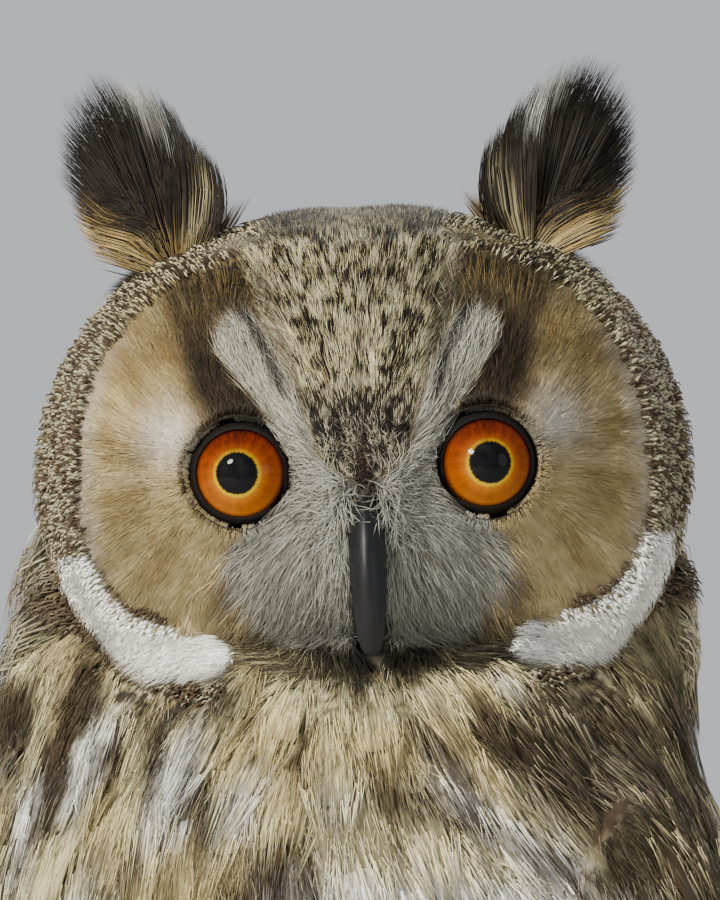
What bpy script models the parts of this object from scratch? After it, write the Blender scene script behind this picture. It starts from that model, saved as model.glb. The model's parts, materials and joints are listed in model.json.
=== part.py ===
"""Long-eared owl, life size, perched on a cut length of branch over a plain display stand.

Every length below is in millimetres and is turned into metres where a mesh is made. Heights are
counted from the top of the perch. +Z is up, the owl looks along -Y, and the origin is the middle
of the base's underside.
"""

import itertools
import math

import bmesh
import bpy
import numpy as np

MM = 0.001
GAP = 0.3  # air left between two nodes that touch
MERGE = (0.004, 0.012, 0.03)  # points nearer than this are one point: the first that gives a sound mesh

# Stand and perch
BASE_RADIUS = 78.0
BASE_THICKNESS = 16.0
BASE_EDGE = 3.0
PERCH_TOP = 126.0  # above the floor
PERCH_RADIUS = 13.0
PERCH_LENGTH = 186.0
PERCH_EVEN = 36.0  # each side of the middle
PERCH_BEND = (3.0, 4.0)
PERCH_STUB = ((62.0, 1.0, -16.0, 6.0), (66.0, -9.0, -9.0, 4.6), (69.0, -17.0, -2.0, 3.6))
ROD_RADIUS = 3.2
ROD_SPREAD = 58.0

# Body: height over the perch, half width, front and back
BODY_TURN = math.radians(-30.0)
TURN_STARTS = 135.0
TURN_ENDS = 178.0
BODY_TABLE = (
    (18.0, 5.0, 2.0, 16.0),
    (26.0, 33.0, -28.0, 37.0),
    (42.0, 49.0, -46.0, 46.0),
    (65.0, 58.0, -56.0, 51.0),
    (95.0, 62.0, -60.0, 53.0),
    (125.0, 61.0, -59.0, 52.0),
    (148.0, 58.5, -56.0, 50.0),
    (165.0, 57.0, -51.0, 48.0),
    (173.0, 56.5, -44.0, 47.5),
    (180.0, 56.0, -35.0, 47.0),
    (190.0, 54.5, -30.0, 45.0),
    (200.0, 46.0, -24.0, 41.0),
    (208.0, 30.0, -14.0, 33.0),
    (212.0, 8.0, 2.0, 16.0),
)
NECK_CUT = 142.0
BODY_SECTORS = 28

# Head: its own frame has the point between the eyes' centres at x 0, z 0
EYE_HEIGHT = 203.0
HEAD_X = 4.0
HEAD_Y = -7.0
HEAD_ROLL = math.radians(2.5)
EYE_SPREAD = 20.0
EYE_RADIUS = 10.5
EYE_OPENING = 7.6
EYE_TURN = math.radians(9.0)
LID_DEPTH = -36.4
LID_RADIUS = 8.3
LID_THICKNESS = 1.05
LID_MOUND = (10.5, 19.0)
FACE_DEPTH = -41.0
HEAD_BACK = 44.0
HEAD_SECTORS = 42
# Degrees from the top of the face: the disc's rim, the widest ring behind it, and their depths
HEAD_TABLE = (
    (0.0, 37.0, 43.5, -26.0, -4.0),
    (30.0, 42.0, 47.0, -24.0, -4.0),
    (50.0, 46.0, 51.0, -21.0, -5.0),
    (70.0, 48.6, 53.8, -20.0, -6.0),
    (90.0, 48.8, 54.6, -20.0, -6.0),
    (110.0, 50.0, 55.0, -21.0, -7.0),
    (125.0, 50.0, 54.6, -23.0, -8.0),
    (140.0, 46.5, 50.5, -26.0, -9.0),
    (155.0, 39.0, 43.0, -28.0, -10.0),
    (180.0, 32.5, 36.0, -30.0, -11.0),
)
FACE_RINGS = (0.09, 0.17, 0.25, 0.33, 0.41, 0.49, 0.58, 0.68, 0.79, 0.9, 0.955, 1.0)
BACK_RINGS_DEG = (0.0, 20.0, 40.0, 58.0, 74.0)
BROW = ((2.0, -2.0), (7.0, 8.0), (13.0, 16.0), (20.0, 22.0))
MOUSTACHE = ((3.0, -5.0), (7.0, -13.0), (10.0, -21.0), (9.0, -28.0))

# Bill: y and z in the head's frame, half width and half height of each section
UPPER_BILL = (
    (-36.0, -5.5, 5.2, 4.4),
    (-42.5, -7.0, 4.9, 4.4),
    (-46.2, -10.5, 4.3, 4.2),
    (-48.4, -15.5, 3.5, 3.6),
    (-49.4, -21.0, 2.4, 2.6),
    (-49.2, -25.8, 1.2, 1.3),
    (-48.4, -29.0, 0.35, 0.35),
)
LOWER_BILL = (
    (-33.0, -15.0, 4.0, 2.2),
    (-38.5, -17.5, 3.7, 2.2),
    (-42.4, -20.6, 2.8, 1.7),
    (-44.6, -23.6, 1.5, 0.9),
)
NOSTRIL = (2.9, -46.6, -8.4)
NOSTRIL_RADIUS = 1.1

# Ear tufts: where they root in the head, and each feather's angle, length and depth at its tip
TUFT_ROOT = (28.5, -9.0, 32.5)
TUFT_FEATHERS = (
    (93.0, 23.0, -1.0),
    (82.0, 28.5, 2.0),
    (73.0, 33.0, 5.0),
    (64.5, 35.0, 7.0),
    (56.0, 33.5, 8.0),
    (46.0, 29.5, 7.0),
    (35.0, 25.0, 4.0),
    (23.0, 20.5, 0.0),
)
TUFT_WIDTH = 8.5
TUFT_BEND = 3.0
TUFT_CUP = 0.14

# Wings: height, half width, middle and half depth of the surface they lie on, and the
# angles of their front and back edges round it
WING_TABLE = (
    (-94.0, 12.0, 46.0, 16.0, 58.0, 78.0),
    (-60.0, 21.0, 36.0, 26.0, 44.0, 79.0),
    (-30.0, 32.0, 25.0, 36.5, 32.0, 80.0),
    (0.0, 42.5, 15.0, 46.0, 20.0, 80.0),
    (26.0, 51.0, 7.0, 52.0, 8.0, 80.0),
    (42.0, 56.0, 2.0, 54.0, 0.0, 79.0),
    (65.0, 60.0, -2.0, 54.5, -10.0, 78.0),
    (95.0, 62.6, -3.5, 57.2, -22.0, 77.0),
    (125.0, 61.5, -3.5, 56.2, -26.0, 72.0),
    (142.0, 60.0, -3.3, 54.8, -18.0, 64.0),
    (152.0, 58.4, -3.2, 53.4, -4.0, 52.0),
    (158.0, 57.4, -3.2, 52.4, 12.0, 38.0),
)
WING_TOP = 158.0
WING_FOOT = 4.0  # where the wing's solid core ends and the flight feathers run on alone
WING_ROOT = 100.0  # the wing grows from the body above this, and lies over it below
WING_ROOT_DEPTH = 1.2
WING_EDGE = 0.4
WING_CORE = (
    (4.0, 1.3),
    (25.0, 2.4),
    (50.0, 3.8),
    (80.0, 5.4),
    (110.0, 6.2),
    (140.0, 4.6),
    (158.0, 1.4),
)
PRIMARY_TIPS = (-66.0, -80.0, -90.0, -92.0, -86.0, -76.0)
PRIMARY_WIDTH = 14.0
# Secondaries, two tiers of coverts and the scapulars: how many, where the first one roots across
# the wing and up it, the step to the next, the same for its tip, lifts at root and tip, and width
WING_TIERS = (
    (6, (0.16, 50.0), (0.145, 0.0), (0.19, -46.0), (0.145, 10.0), (1.8, 4.4), 15.5),
    (6, (0.1, 76.0), (0.16, 0.0), (0.12, 24.0), (0.16, 4.0), (3.2, 6.2), 16.5),
    (5, (0.12, 102.0), (0.19, 0.0), (0.13, 60.0), (0.19, 4.0), (4.2, 7.6), 19.0),
    (4, (0.5, 130.0), (0.15, 0.0), (0.52, 92.0), (0.15, -7.0), (3.4, 8.6), 17.0),
)
VANE_THICKNESS = 0.7
SHAFT_RIDGE = 0.2
TIP_VARIATION = (0.006, 1.8)
TILE_STEP = 1.1
TILE_TILT = 0.22

# Tail
TAIL_PATH = ((46.0, 34.0), (20.0, 39.5), (-20.0, 45.0), (-84.0, 50.0))
TAIL_TIPS = ((3.0, -84.0), (8.2, -84.0), (13.0, -82.5), (17.2, -80.0), (20.8, -77.0))
TAIL_WIDTH = 15.0
TAIL_CORE = ((62.0, 15.0, 9.0), (40.0, 19.0, 10.0), (18.0, 16.0, 6.0), (-4.0, 13.0, 3.0), (-18.0, 9.0, 1.4))

# Legs and feet
LEG_SPREAD = 19.0
LEG_TABLE = ((9.5, 6.4), (14.0, 7.6), (22.0, 10.5), (32.0, 13.0), (46.0, 15.0), (62.0, 15.0))
FOOT_TABLE = ((0.9, 6.2), (3.2, 8.2), (6.0, 8.4), (9.2, 6.5))
TOE_RADIUS = 4.3
TOE_TIP_RADIUS = 3.0
CLAW_RADIUS = 2.0
# Each toe: where it lies on the perch at its root and tip, first and last angle round the perch
TOES = (
    ("front_inner", -3.2, -8.0, 72.0, -14.0),
    ("front_outer", 3.2, 6.0, 72.0, -20.0),
    ("back_inner", -3.0, -5.5, 108.0, 178.0),
    ("back_outer", 3.4, 9.0, 108.0, 190.0),
)
CLAW_SWEEP = 42.0
FOOT_GAP = 0.5

SEED = 20


def clear_scene():
    for old in list(bpy.data.objects):
        bpy.data.objects.remove(old)


def material(name, colour, roughness, metallic=0.0):
    made = bpy.data.materials.new(name)
    made.use_nodes = True
    shader = made.node_tree.nodes["Principled BSDF"]
    shader.inputs["Base Color"].default_value = (*colour, 1.0)
    shader.inputs["Roughness"].default_value = roughness
    shader.inputs["Metallic"].default_value = metallic
    return made


def through(table):
    """A smooth curve through the table's rows, by their first column, which never overshoots them."""
    rows = np.array(sorted(table), float)
    x, y = rows[:, 0], rows[:, 1:]
    slope = np.diff(y, axis=0) / np.diff(x)[:, None]
    same_way = slope[:-1] * slope[1:] > 0
    total = np.where(same_way, slope[:-1] + slope[1:], 1.0)
    inner = np.where(same_way, 2 * slope[:-1] * slope[1:] / total, 0.0)
    tangent = np.vstack([slope[:1], inner, slope[-1:]])

    def value(at):
        at = np.clip(np.asarray(at, float), x[0], x[-1])
        i = np.clip(np.searchsorted(x, at, side="right") - 1, 0, len(x) - 2)
        step = (x[i + 1] - x[i])[..., None]
        t = ((at - x[i]) / (x[i + 1] - x[i]))[..., None]
        found = (
            (2 * t**3 - 3 * t**2 + 1) * y[i]
            + (t**3 - 2 * t**2 + t) * step * tangent[i]
            + (3 * t**2 - 2 * t**3) * y[i + 1]
            + (t**3 - t**2) * step * tangent[i + 1]
        )
        return found[..., 0] if y.shape[1] == 1 else found

    return value


chance = np.random.default_rng(SEED)
body_section = through(BODY_TABLE)
head_section = through(HEAD_TABLE)
wing_section = through(WING_TABLE)
wing_core = through(WING_CORE)
tail_depth = through(TAIL_PATH)
leg_radius = through(LEG_TABLE)


def turned(points, angle):
    """Points turned about the vertical axis through the origin."""
    points = np.asarray(points, float)
    c, s = math.cos(angle), math.sin(angle)
    x, y = points[..., 0], points[..., 1]
    return np.stack([c * x - s * y, s * x + c * y, points[..., 2]], axis=-1)


def over_perch(points):
    """From the body's frame, whose heights start at the perch, to the model's."""
    return turned(points, BODY_TURN) + (0.0, 0.0, PERCH_TOP)


def from_head(points):
    """From the head's own frame to the model's: rolled a little, then set over the neck."""
    points = np.asarray(points, float)
    c, s = math.cos(HEAD_ROLL), math.sin(HEAD_ROLL)
    x, y, z = points[..., 0], points[..., 1], points[..., 2]
    rolled = np.stack([c * x - s * z, y, s * x + c * z], axis=-1)
    return rolled + (HEAD_X, HEAD_Y, PERCH_TOP + EYE_HEIGHT)


def mesh_object(name, points, faces, look=None):
    mesh = bpy.data.meshes.new(name)
    mesh.from_pydata((np.asarray(points, float) * MM).tolist(), [], [list(map(int, f)) for f in faces])
    made = bpy.data.objects.new(name, mesh)
    bpy.context.scene.collection.objects.link(made)
    if look:
        mesh.materials.append(look)
    body = bmesh.new()
    body.from_mesh(mesh)
    bmesh.ops.recalc_face_normals(body, faces=body.faces)
    bmesh.ops.triangulate(body, faces=body.faces, quad_method="FIXED", ngon_method="EAR_CLIP")
    body.to_mesh(mesh)
    body.free()
    mesh.shade_smooth()
    return made


def loft(name, rings, look=None):
    """A closed skin over rings of equal count. A ring of one point closes to that point.

    The triangles of a ring's second half mirror those of its first, so that a thin vane's two
    faces are split alike."""
    points, starts = [], []
    for ring in rings:
        starts.append(len(points))
        points.extend(np.atleast_2d(ring))
    count = max(len(np.atleast_2d(r)) for r in rings)
    faces = []
    for k in range(len(rings) - 1):
        a, b = starts[k], starts[k + 1]
        one_a = len(np.atleast_2d(rings[k])) == 1
        one_b = len(np.atleast_2d(rings[k + 1])) == 1
        for j in range(count):
            n = (j + 1) % count
            if one_a:
                faces.append((a, b + n, b + j))
            elif one_b:
                faces.append((a + j, a + n, b))
            elif 2 * j < count:
                faces += [(a + j, a + n, b + n), (a + j, b + n, b + j)]
            else:
                faces += [(a + j, a + n, b + j), (a + n, b + n, b + j)]
    if len(np.atleast_2d(rings[0])) > 1:
        faces.append(tuple(reversed(range(count))))
    if len(np.atleast_2d(rings[-1])) > 1:
        faces.append(tuple(range(starts[-1], starts[-1] + count)))
    return mesh_object(name, points, faces, look)


def evaluated(made):
    """Applies an object's modifiers to its own mesh."""
    bpy.context.view_layer.update()
    graph = bpy.context.evaluated_depsgraph_get()
    mesh = bpy.data.meshes.new_from_object(made.evaluated_get(graph))
    made.modifiers.clear()
    made.data = mesh
    return made


def loose_parts(body):
    """The mesh's separate closed surfaces, as lists of faces."""
    left = set(body.faces)
    while left:
        stack, part = [left.pop()], []
        while stack:
            face = stack.pop()
            part.append(face)
            for edge in face.edges:
                for other in edge.link_faces:
                    if other in left:
                        left.remove(other)
                        stack.append(other)
        yield part


def volume_of(faces):
    total = 0.0
    for face in faces:
        corners = [v.co for v in face.verts]
        for k in range(1, len(corners) - 1):
            total += corners[0].dot(corners[k].cross(corners[k + 1])) / 6
    return total


def keep_largest(made):
    body = bmesh.new()
    body.from_mesh(made.data)
    parts = sorted(loose_parts(body), key=volume_of)
    for part in parts[:-1]:
        bmesh.ops.delete(body, geom=part, context="FACES")
    body.to_mesh(made.data)
    body.free()
    return made


def in_triangles(made):
    """Splits an object into triangles so that every edge stays between two faces only."""
    for distance, corner_rule, side_rule in itertools.product(
        MERGE, ("BEAUTY", "EAR_CLIP"), ("BEAUTY", "SHORT_EDGE", "LONG_EDGE")
    ):
        body = bmesh.new()
        body.from_mesh(made.data)
        bmesh.ops.remove_doubles(body, verts=body.verts, dist=distance * MM)
        bmesh.ops.dissolve_degenerate(body, edges=body.edges, dist=distance * MM)
        bmesh.ops.triangulate(body, faces=body.faces, quad_method=side_rule, ngon_method=corner_rule)
        sound = all(len(edge.link_faces) == 2 for edge in body.edges)
        if sound:
            body.to_mesh(made.data)
        body.free()
        if sound:
            return made
    return made


def fuse(made, pieces):
    """Joins closed pieces to an object by one union, and removes the pieces."""
    group = bpy.data.collections.new(made.name + "_pieces")
    bpy.context.scene.collection.children.link(group)
    for piece in pieces:
        bpy.context.scene.collection.objects.unlink(piece)
        group.objects.link(piece)
    union = made.modifiers.new("join", "BOOLEAN")
    union.operation = "UNION"
    union.operand_type = "COLLECTION"
    union.collection = group
    union.solver = "MANIFOLD"
    evaluated(made)
    for piece in pieces:
        bpy.data.objects.remove(piece)
    bpy.data.collections.remove(group)
    return keep_largest(made)


def swollen(made, by):
    """A copy of an object, every point moved out along its normal."""
    copy = bpy.data.objects.new(made.name + "_clearance", made.data.copy())
    bpy.context.scene.collection.objects.link(copy)
    normals = np.array([v.normal for v in copy.data.vertices])
    places = np.array([v.co for v in copy.data.vertices]) + normals * by * MM
    copy.data.vertices.foreach_set("co", places.astype(np.float32).ravel())
    copy.data.update()
    return copy


def whole_form(made):
    """A hidden copy of an object as it is before its neighbours are cut out of it."""
    copy = bpy.data.objects.new(made.name + "_form", made.data.copy())
    bpy.context.scene.collection.objects.link(copy)
    copy.hide_render = True
    copy.display_type = "WIRE"
    return copy


def carve(made, *others, gap=GAP):
    """Cuts others out of an object. With a gap, each is swollen by it first."""
    for other in others:
        cutter = swollen(other, gap) if gap else other
        cut = made.modifiers.new("cut", "BOOLEAN")
        cut.operation = "DIFFERENCE"
        cut.object = cutter
        cut.solver = "MANIFOLD"
        evaluated(made)
        bpy.data.objects.remove(cutter)
    return keep_largest(made)


def ring_round(centre, radii, count):
    """A level ring of points round a centre."""
    angles = np.arange(count) * 2 * math.pi / count
    circle = np.stack([radii[0] * np.cos(angles), radii[1] * np.sin(angles), np.zeros(count)], axis=-1)
    return circle + centre


def tube(name, path, radii, sides, look=None):
    """A round bar along a path, its ends closed flat."""
    path = np.asarray(path, float)
    ways = np.gradient(path, axis=0)
    ways /= np.linalg.norm(ways, axis=1)[:, None]
    side = np.cross(ways[0], (0.0, 0.0, 1.0))
    if np.linalg.norm(side) < 0.2:
        side = np.array((1.0, 0.0, 0.0))
    rings = []
    for point, way, radius in zip(path, ways, radii):
        side = side - way * side.dot(way)
        side /= np.linalg.norm(side)
        up = np.cross(way, side)
        angles = np.arange(sides) * 2 * math.pi / sides
        rings.append(point + radius * (np.outer(np.cos(angles), side) + np.outer(np.sin(angles), up)))
    return loft(name, rings, look)


def vane(name, path, out, widths, look=None, thickness=VANE_THICKNESS, shaft=True):
    """A flat feather along a path: thin, tapered, with or without a low shaft ridge on both faces."""
    path, out = np.asarray(path, float), np.asarray(out, float)
    ways = np.gradient(path, axis=0)
    ways /= np.linalg.norm(ways, axis=1)[:, None]
    across = np.cross(ways, out)
    across /= np.linalg.norm(across, axis=1)[:, None]
    up = np.cross(across, ways)
    half = thickness / 2
    rings = []
    for point, side, high, width in zip(path, across, up, widths):
        left, right = point - side * width / 2, point + side * width / 2
        edge = min(half, width * 0.3) * high
        ridge = edge + SHAFT_RIDGE * high
        if shaft:
            rings.append([left - edge, point - ridge, right - edge])
            rings[-1] += [right + edge, point + ridge, left + edge]
        else:
            rings.append([left - edge, right - edge, right + edge, left + edge])
    return loft(name, rings, look)


# Stand and perch


def make_stand(look_base, look_rod):
    bpy.ops.mesh.primitive_cylinder_add(
        vertices=48,
        radius=BASE_RADIUS * MM,
        depth=BASE_THICKNESS * MM,
        location=(0, 0, BASE_THICKNESS / 2 * MM),
    )
    base = bpy.context.object
    base.name = "stand_base"
    base.data.materials.append(look_base)
    edge = base.modifiers.new("rounded_edge", "BEVEL")
    edge.width = BASE_EDGE * MM
    edge.segments = 2
    edge.limit_method = "ANGLE"
    evaluated(base)
    rods = []
    for name, side in (("stand_rod_left", 1), ("stand_rod_right", -1)):
        foot = turned((side * ROD_SPREAD, 0.0, 0.0), BODY_TURN)
        low = BASE_THICKNESS + GAP
        high = PERCH_TOP - PERCH_RADIUS
        path = [foot + (0, 0, h) for h in (low, high)]
        rods.append(tube(name, path, (ROD_RADIUS, ROD_RADIUS), 16, look_rod))
    return base, rods


def make_perch(look):
    """A cut length of branch across the body, round and even where the feet hold it."""
    stations = np.linspace(-0.5, 0.5, 11) * PERCH_LENGTH
    sides = 14
    angles = np.arange(sides) * 2 * math.pi / sides
    rings = []
    for x in stations:
        away = max(0.0, abs(x) - PERCH_EVEN) / (PERCH_LENGTH / 2 - PERCH_EVEN)
        lumps = 0.05 * np.cos(3 * angles + x / 19) + 0.04 * np.sin(5 * angles - x / 13) - 0.06
        radius = PERCH_RADIUS * (1.0 + away * (lumps - math.copysign(0.03, x)))
        sag, drift = np.array(PERCH_BEND) * away**2
        y, z = drift + radius * np.cos(angles), radius * np.sin(angles) - PERCH_RADIUS - sag
        rings.append(np.stack([np.full(sides, x), y, z], axis=-1))
    perch = loft("perch", over_perch(rings), look)
    stub = tube("stub", over_perch([point[:3] for point in PERCH_STUB]), [p[3] for p in PERCH_STUB], 8)
    return fuse(perch, [stub])


# Torso and neck


def body_ring(height):
    """One level ring of the body, which turns from the way the feet face to the way the head does."""
    half_width, front, back = body_section(height)
    share = np.clip((height - TURN_STARTS) / (TURN_ENDS - TURN_STARTS), 0, 1)
    share = share * share * (3 - 2 * share)
    centre = (share * HEAD_X, (front + back) / 2, height)
    ring = ring_round(centre, (half_width, (back - front) / 2), BODY_SECTORS)
    return turned(ring, BODY_TURN * (1 - share)) + (0.0, 0.0, PERCH_TOP)


def make_torso_and_neck(look):
    low = [18.0, 21.0, 26.0, 33.0, 42.0, 53.0, 65.0, 80.0, 95.0, 110.0, 125.0, NECK_CUT]
    high = [NECK_CUT + GAP, 150.0, 158.0, 165.0, 173.0, 180.0, 190.0, 200.0, 208.0, 212.0]
    torso = loft("torso", [body_ring(h) for h in low], look)
    neck = loft("neck", [body_ring(h) for h in high], look)
    return torso, neck


# Head


def distance_to_line(x, z, line):
    """Distance from each point to a line of straight runs, and how far along it the nearest place is."""
    line = np.asarray(line, float)
    best = np.full(np.shape(x), np.inf)
    along = np.zeros(np.shape(x))
    for k in range(len(line) - 1):
        start, step = line[k], line[k + 1] - line[k]
        t = np.clip(((x - start[0]) * step[0] + (z - start[1]) * step[1]) / step.dot(step), 0, 1)
        gap = np.hypot(x - start[0] - t * step[0], z - start[1] - t * step[1])
        closer = gap < best
        best = np.where(closer, gap, best)
        along = np.where(closer, (k + t) / (len(line) - 1), along)
    return best, along


def face_depth(x, z, share, rim_depth):
    """How far forward the face lies. share is 0 in its middle and 1 at the disc's rim."""
    depth = FACE_DEPTH + (rim_depth - FACE_DEPTH) * share**1.8
    side = np.abs(x)
    brow, _ = distance_to_line(side, z, BROW)
    moustache, _ = distance_to_line(side, z, MOUSTACHE)
    edge = np.clip((1 - share) / 0.15, 0, 1)
    depth = depth + 1.8 * np.exp(-(((side - 30) / 10) ** 2) - ((z + 2) / 17) ** 2) * edge
    depth = depth - 2.8 * np.exp(-((brow / 4.2) ** 2))
    depth = depth - 2.6 * np.exp(-((moustache / 5.5) ** 2))
    depth = depth - 1.2 * np.exp(-((x / 7) ** 2)) * np.clip(z / 20, 0, 1)
    hollow = np.exp(-(((side - 17) / 6) ** 2) - ((z - 11) / 4) ** 2)
    depth = depth + 1.2 * hollow
    near, far = LID_MOUND
    mound = np.clip((far - np.hypot(side - EYE_SPREAD, z)) / (far - near), 0, 1)
    mound = mound * mound * (3 - 2 * mound)
    lid_plane = LID_DEPTH + 0.6 + (side - EYE_SPREAD) * math.tan(EYE_TURN)
    depth = depth + mound * (np.minimum(depth, lid_plane) - depth)
    return depth - 1.6 * np.exp(-(((share - 1.0) / 0.05) ** 2))


def make_head(look):
    round_face = np.arange(HEAD_SECTORS) * 2 * math.pi / HEAD_SECTORS
    from_top = np.degrees(np.abs(np.arctan2(np.sin(round_face), np.cos(round_face))))
    rim, widest, rim_depth, widest_depth = head_section(from_top).T
    rings = [np.array([(0.0, FACE_DEPTH - 0.5, 0.0)])]
    for share in FACE_RINGS:
        x, z = rim * share * np.sin(round_face), rim * share * np.cos(round_face)
        rings.append(np.stack([x, face_depth(x, z, share, rim_depth), z], axis=-1))
    shoulder = rim * 0.35 + widest * 0.65
    shoulder_depth = rim_depth * 0.6 + widest_depth * 0.4
    x, z = shoulder * np.sin(round_face), shoulder * np.cos(round_face)
    rings.append(np.stack([x, shoulder_depth, z], axis=-1))
    for degrees in BACK_RINGS_DEG:
        swing = math.radians(degrees)
        radius = widest * math.cos(swing) ** 0.86
        depth = widest_depth + (HEAD_BACK - widest_depth) * math.sin(swing) ** 1.08
        rings.append(np.stack([radius * np.sin(round_face), depth, radius * np.cos(round_face)], axis=-1))
    rings.append(np.array([(0.0, HEAD_BACK, 0.0)]))
    return loft("head", [from_head(r) for r in rings], look)


def eye_centre(side):
    back = math.sqrt(EYE_RADIUS**2 - EYE_OPENING**2)
    way = np.array((-side * math.sin(EYE_TURN), math.cos(EYE_TURN), 0.0))
    return np.array((side * EYE_SPREAD, LID_DEPTH, 0.0)) + way * back


def ball(name, centre, radius, sectors, look=None):
    """A round ball whose poles point to the front and back."""
    rings = [centre - (0, radius, 0)]
    levels = sectors // 2
    for k in range(1, levels):
        tilt = math.pi * k / levels
        angles = np.arange(sectors) * 2 * math.pi / sectors
        ring = np.stack(
            [
                radius * math.sin(tilt) * np.cos(angles),
                np.full(sectors, -radius * math.cos(tilt)),
                radius * math.sin(tilt) * np.sin(angles),
            ],
            axis=-1,
        )
        rings.append(ring + centre)
    rings.append(centre + (0, radius, 0))
    return loft(name, [from_head(r) for r in rings], look)


def lid(side):
    """A thick rim round the eye's opening."""
    round_count, section_count = 24, 6
    major = np.arange(round_count) * 2 * math.pi / round_count
    minor = np.arange(section_count) * 2 * math.pi / section_count
    points, faces = [], []
    for a in major:
        for b in minor:
            radius = LID_RADIUS + LID_THICKNESS * math.cos(b)
            points.append((radius * math.cos(a), LID_THICKNESS * math.sin(b), radius * math.sin(a)))
    for i in range(round_count):
        for j in range(section_count):
            n, m = (i + 1) % round_count * section_count, (j + 1) % section_count
            here = i * section_count
            faces.append((here + j, n + j, n + m, here + m))
    placed = turned(points, side * EYE_TURN) + (side * EYE_SPREAD, LID_DEPTH, 0.0)
    return mesh_object("lid", from_head(placed), faces)


def add_eyes(head, look):
    fuse(head, [lid(1), lid(-1)])
    eyes = []
    for name, side in (("eye_left", 1), ("eye_right", -1)):
        socket = ball("socket", eye_centre(side), EYE_RADIUS + GAP + 0.05, 22)
        carve(head, socket, gap=0)
        eyes.append(ball(name, eye_centre(side), EYE_RADIUS, 18, look))
    return eyes


def bill_solid(name, sections, look=None):
    """Round sections across the bill's own curved line, in the head's frame."""
    sections = np.asarray(sections, float)
    ways = np.gradient(sections[:, :2], axis=0)
    ways /= np.linalg.norm(ways, axis=1)[:, None]
    angles = np.arange(12) * 2 * math.pi / 12
    rings = []
    for (y, z, half_width, half_height), way in zip(sections, ways):
        up = np.array((way[1], -way[0]))
        rings.append(
            np.stack(
                [
                    half_width * np.cos(angles),
                    y + half_height * np.sin(angles) * up[0],
                    z + half_height * np.sin(angles) * up[1],
                ],
                axis=-1,
            )
        )
    return loft(name, [from_head(r) for r in rings], look)


def make_bill(head, look):
    upper = bill_solid("bill_upper", UPPER_BILL, look)
    lower = bill_solid("bill_lower", LOWER_BILL, look)
    carve(upper, head)
    carve(lower, head, upper)
    for side in (1, -1):
        x, y, z = NOSTRIL
        carve(upper, ball("nostril", np.array((side * x, y, z)), NOSTRIL_RADIUS, 8), gap=0)
    return upper, lower


def make_tuft(name, side, head, look):
    """An ear tuft: feathers fanned from one root, cupped to the front."""
    root = np.array(TUFT_ROOT)
    core = ball("core", root * (side, 1, 1), 6.0, 10)
    core.name = name
    core.data.materials.append(look)
    feathers = []
    for k, (angle, length, back) in enumerate(TUFT_FEATHERS):
        length = length * chance.uniform(0.97, 1.03)
        way = np.array((math.cos(math.radians(angle)), 0.0, math.sin(math.radians(angle))))
        path, out = [], []
        for share in (0.0, 0.35, 0.75, 1.0):
            bend = TUFT_BEND * math.sin(math.pi * share)
            sideways = np.array((way[2], 0.0, -way[0])) * bend
            point = root + way * length * share + sideways + (0.0, back * share**1.5 + 1.1 * (k % 2), 0.0)
            path.append(point * (side, 1, 1))
            lean = (k - (len(TUFT_FEATHERS) - 1) / 2) * TUFT_CUP
            out.append((side * lean * way[2], -1.0, -lean * way[0]))
        widths = np.array((0.55, 1.0, 0.9, 0.3)) * TUFT_WIDTH
        feathers.append(vane("feather", from_head(path), out, widths, shaft=False))
    fuse(core, feathers)
    return carve(core, head)


# Wings


def wing_place(side, across, height, lift):
    """A place on the folded wing. across is 0 at its front edge and 1 at its back edge."""
    half_width, middle, half_depth, front_edge, back_edge = wing_section(height)
    angle = np.radians(front_edge + (back_edge - front_edge) * across)
    x, y = half_width * np.cos(angle), half_depth * np.sin(angle)
    out = np.array((x / half_width**2, y / half_depth**2, 0.0))
    out /= np.linalg.norm(out)
    point = np.array((x, middle + y, height)) + out * (lift + GAP)
    mirror = np.array((side, 1, 1))
    return point * mirror, out * mirror


def make_wing_core(name, side, look):
    """The wing's solid part, which thins towards its edges and its foot."""
    heights = (WING_FOOT, 20.0, 40.0, 62.0, 86.0, 110.0, 130.0, 146.0, WING_TOP)
    columns = np.linspace(0.0, 1.0, 7)
    rings = []
    for height in heights:
        thick = wing_core(height) * np.sin(math.pi * (0.06 + 0.88 * columns)) ** 0.6
        under = -WING_ROOT_DEPTH if height > WING_ROOT else WING_EDGE / 2
        outer = [wing_place(side, c, height, WING_EDGE + t)[0] for c, t in zip(columns, thick)]
        inner = [wing_place(side, c, height, under)[0] for c in columns[::-1]]
        rings.append(over_perch(outer + inner))
    return loft(name, rings, look)


def wing_tier(side, starts, tips, lifts, width, stations=(0.0, 0.45, 0.85, 1.0), shaft=False):
    """One tier of feathers, each lying over the next one forward like tiles.

    starts and tips hold each feather's place as across and height. Where neighbours lie close,
    each is tilted, and raised if that isn't enough, so that there is air between them.
    """
    profile = through(((0.0, 0.55), (0.4, 1.0), (0.85, 0.88), (1.0, 0.3)))
    tips = tips + chance.uniform(-1.0, 1.0, tips.shape) * TIP_VARIATION
    feathers = []
    for k in range(len(starts)):
        near = k + 1 if k + 1 < len(starts) else k - 1
        path, out, widths = [], [], []
        for share in stations:
            across, height = starts[k] + (tips[k] - starts[k]) * share
            beside = starts[near] + (tips[near] - starts[near]) * share
            lift = lifts[0] + (lifts[1] - lifts[0]) * share
            point, normal = wing_place(side, across, height, lift)
            back, _ = wing_place(side, across + 0.02, height, lift)
            spacing = np.linalg.norm(wing_place(side, beside[0], height, lift)[0] - point)
            tilt = min(TILE_TILT, TILE_STEP / spacing)
            raised = k * share * max(0.0, TILE_STEP - spacing * tilt)
            path.append(point + normal * raised)
            out.append(normal + tilt * (back - point) / np.linalg.norm(back - point))
            widths.append(width * profile(share))
        feathers.append(vane("feather", over_perch(path), turned(out, BODY_TURN), widths, shaft=shaft))
    return feathers


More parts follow.
